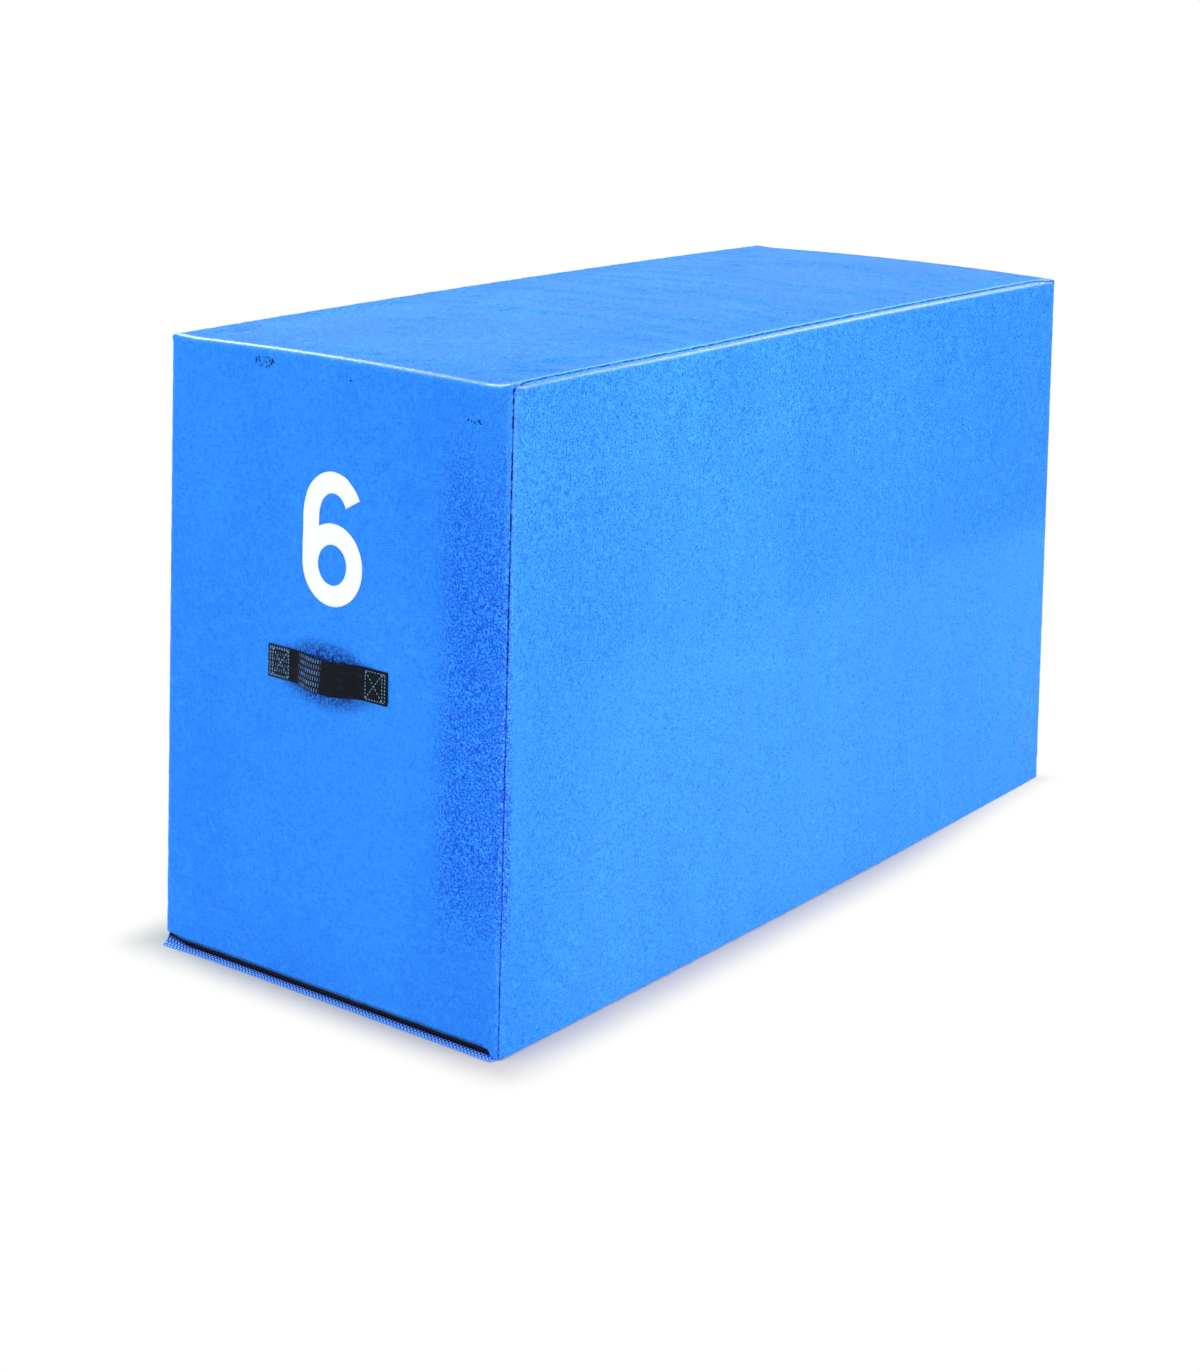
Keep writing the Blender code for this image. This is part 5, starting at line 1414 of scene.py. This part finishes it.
# %% Metal parts
METAL_BEVEL = 0.00012
METAL_PARTS = (
    ("zip_slider", "_cast", "slider", zip_metal),
    ("zip_pull", "_tab", "pull", zip_metal),
    ("zip_stop_start", "_crimp", "box", black_metal),
    ("zip_stop_end", "_crimp", "box", zip_metal),
)
for node, ending, body, finish in METAL_PARTS:
    shell = bmesh.new()
    shell.from_mesh(frame["nodes"][node].data)
    bmesh.ops.remove_doubles(shell, verts=shell.verts, dist=1e-6)
    bmesh.ops.dissolve_limit(shell, angle_limit=math.radians(1), verts=shell.verts, edges=shell.edges)
    mesh = bpy.data.meshes.new(node + ending)
    shell.to_mesh(mesh)
    shell.free()
    mesh.materials.clear()
    mesh.materials.append(finish.material)
    piece = placed(node + ending, mesh)
    bevel = piece.modifiers.new("softened edges", "BEVEL")
    bevel.width, bevel.segments, bevel.limit_method = METAL_BEVEL, 2, "ANGLE"
    bevel.harden_normals = True
    take_part(piece, body, [node])
    print(f"{piece.name}: {len(mesh.polygons)} faces before its bevel")

# %% [markdown]
# The lip
#
# The hem is a strip of the cover's cloth folded cloth side out, so its woven back shows: rows of pale and
# dark dots. It stands up behind the teeth, falls outwards in a hollow curve and ends in a rolled rim. At
# the left corner it is drawn out to a point.

# %% Hem finish
HEM_DOT, HEM_ROW = 0.0062, 0.0028
hem_cloth = Finish("folded hem", Roughness=0.7, Specular_IOR_Level=0.06)
along_hem, round_hem, _ = hem_cloth.cloth().axes()
dotted = round_hem.wave(2 * HEM_ROW) * along_hem.wave(HEM_DOT)
# From the rim up towards the teeth the ground and the pale dots go deep navy: painted shade under the band.
on_weave, upper = round_hem.remap(0.0100, 0.0125), round_hem.remap(0.0135, 0.0205)
ground = upper.mix((0.030, 0.170, 0.850, 1), (0.006, 0.022, 0.200, 1))
pale = upper.mix((0.320, 0.660, 1.0, 1), (0.090, 0.250, 0.880, 1))
rim_shade = hem_cloth.noise(240.0, 3.0).mix((0.070, 0.280, 0.900, 1), (0.200, 0.480, 0.980, 1))
hem_cloth.set(Base_Color=on_weave.mix(rim_shade, dotted.remap(0.00, 0.40).mix(ground, pale)))
hem_cloth.set(Normal=(on_weave * dotted).bump(0.0004, 0.7))
print("hem cloth")

# %% Hem
LIP_REACH, LIP_RIM, LIP_CURL = 0.008, 0.0010, 4
LIP_CELL, LIP_WAVE, LIP_END, LIP_OVERRUN, LIP_START = 0.004, 0.0005, 0.005, 0.012, 0.002
LIP_WAVE_LENGTHS = (0.031, 0.0147, 0.083)
LIP_POINT, LIP_POINT_RUN, LIP_BESIDE, LIP_BESIDE_RUN = 0.0045, 0.100, 0.0025, 0.060
LIP_LOWER, LIP_START_DROP = 0.0004, 0.003
LIP_CORNER_HEIGHT, LIP_WEDGE = 0.0058, 0.045
PLAIN_STATION = 40


def lip_reach(stations):
    """How far the lip stands out. It wavers, and is short at its ends. Round the corner it follows a
    chamfer: one over a sum of cosine and sine shares, from the point in front to a short reach beside."""
    first, second, slow = (stations / length for length in LIP_WAVE_LENGTHS)
    waver = np.sin(first) * np.sin(second + 1) + 0.6 * np.sin(slow + 2)
    to_end = np.clip(np.minimum(stations + LIP_OVERRUN, ZIP_LENGTH - stations) / LIP_END, 0, 1)
    reach = (LIP_REACH - LIP_WAVE) * (0.35 + 0.65 * np.sqrt(1 - (1 - to_end) ** 2)) + LIP_WAVE * waver / 2
    reach = reach + LIP_POINT * smooth(1 - (ZIP_FRONT_RUN - stations) / LIP_POINT_RUN)
    bearing, back_way = corner_angle(stations), stations - ZIP_FRONT_RUN - ZIP_CORNER_RUN
    point, beside = EDGE_RADIUS + LIP_REACH + LIP_POINT, EDGE_RADIUS + LIP_BESIDE
    chamfer = 1 / (np.cos(bearing) / point + np.sin(bearing) / beside) - EDGE_RADIUS
    past = LIP_BESIDE + (LIP_REACH - LIP_BESIDE) * smooth(back_way / LIP_BESIDE_RUN)
    reach = np.where(bearing > 0, np.where(back_way > 0, np.minimum(reach, past), chamfer), reach)
    return reach + CORNER_INSET * np.sin(2 * bearing) ** 2


def lip_upstand(stations):
    """How high the lip stands: lower on the front, raised to a wedge towards the left corner."""
    front_way = (ZIP_FRONT_RUN - stations) / LIP_WEDGE
    wedge = smooth(1 - front_way) * smooth(1 + front_way * LIP_WEDGE / (0.8 * ZIP_CORNER_RUN))
    upstand = LIP_UPSTAND - LIP_LOWER * smooth(front_way) + LIP_CORNER_HEIGHT * wedge
    return upstand - LIP_START_DROP * smooth(-stations / LIP_OVERRUN)


def hem_profile(reach, upstand, tuck):
    """The hem's (out, height) rows for each reach, upstand and tuck of the lip: up the back, under, round
    the rim by half a circle, and up the hollow curve, whose height is a fourth power of the way in."""
    turn = np.linspace(-math.pi / 2, math.pi / 2, 7)
    rise = np.linspace(0, 1, 10)[1:]
    tip, curl = reach - LIP_RIM, rise**LIP_CURL
    out = [-tuck, FIT_GAP, FIT_GAP, *(tip + LIP_RIM * math.cos(angle) for angle in turn)]
    out += [*(tip + (FIT_GAP - tip) * share for share in rise), -tuck]
    height = [PANEL_FOOT, PANEL_FOOT, 0.0, *(LIP_RIM * (1 + np.sin(turn)))]
    height += [*(2 * LIP_RIM + (upstand - 2 * LIP_RIM) * share for share in curl), upstand]
    return stacked(*out), stacked(*height)


stations = np.concatenate([even(-LIP_OVERRUN, 0, LIP_CELL / 2)[:-1], zip_stations(LIP_CELL)])
tuck = HEM_TUCK - (HEM_TUCK + FIT_GAP / 2) * smooth((LIP_START - stations) / LIP_START)
hem_out, hem_rows = hem_profile(lip_reach(stations), lip_upstand(stations), tuck)
cloth_run = run_along(stacked(hem_out[PLAIN_STATION], hem_rows[PLAIN_STATION]))
sections, cloth = zip_place(stations[:, None], hem_out, hem_rows), stacked(stations[:, None], cloth_run)
add_solid("base_hem_fold", sections, hem_cloth, "pale_hem", ["base_hem"], cloth=cloth)
print("round the hem's section:", np.round(cloth_run * 1000, 1), "mm")

# %% [markdown]
# Thread over the zip
#
# The zip's tape is held by black thread, which shows as a fine comb over the panels' lower edge, except
# round the corner, where the cloth is rolled under. The dark dashes down in the ditches of the seams are
# dirt and painted shade in the fabric's finish.

# %% The comb over the zip
COMB_PITCH, COMB_LENGTH, COMB_THREAD, COMB_HEIGHT = 0.0031, 0.0054, 0.0013, 0.0009
COMB_RISE, COMB_STAND, COMB_START, COMB_END = 0.0014, 0.0006, 0.010, 0.008
dark_blues = (0.006, 0.008, 0.014, 1), (0.030, 0.036, 0.055, 1)
dark_thread = grained("black thread", *dark_blues, **thread_grain, Roughness=0.6, Specular_IOR_Level=0.35)

distance = np.arange(COMB_START, ZIP_LENGTH - COMB_END, COMB_PITCH)
from_corner = distance - ZIP_FRONT_RUN - ZIP_CORNER_RUN / 2
distance = distance[np.abs(from_corner) >= ZIP_CORNER_RUN]
on_front = distance < ZIP_FRONT_RUN + ZIP_CORNER_RUN / 2
comb_x, comb_y = CORE_X - HEM_RUN_OUT - distance, distance - ZIP_FRONT_RUN - ZIP_CORNER_RUN - CORE_Y
lift = np.where(on_front, face_lift("front", comb_x, HEM_HEIGHT), face_lift("left", comb_y, HEM_HEIGHT))
height = hem_height(1.0, np.where(on_front, 0.0, CORE_Y + comb_y)) + COMB_RISE
spots, along, outwards = zip_frames(distance, COMB_STAND + lift, height)
comb = stitch_shape(COMB_LENGTH, COMB_THREAD, COMB_HEIGHT, stations=4)
upwards = np.cross(along, outwards)
add_copies("zip_comb_stitches", spots, upwards, outwards, comb, dark_thread, "zip_tape")
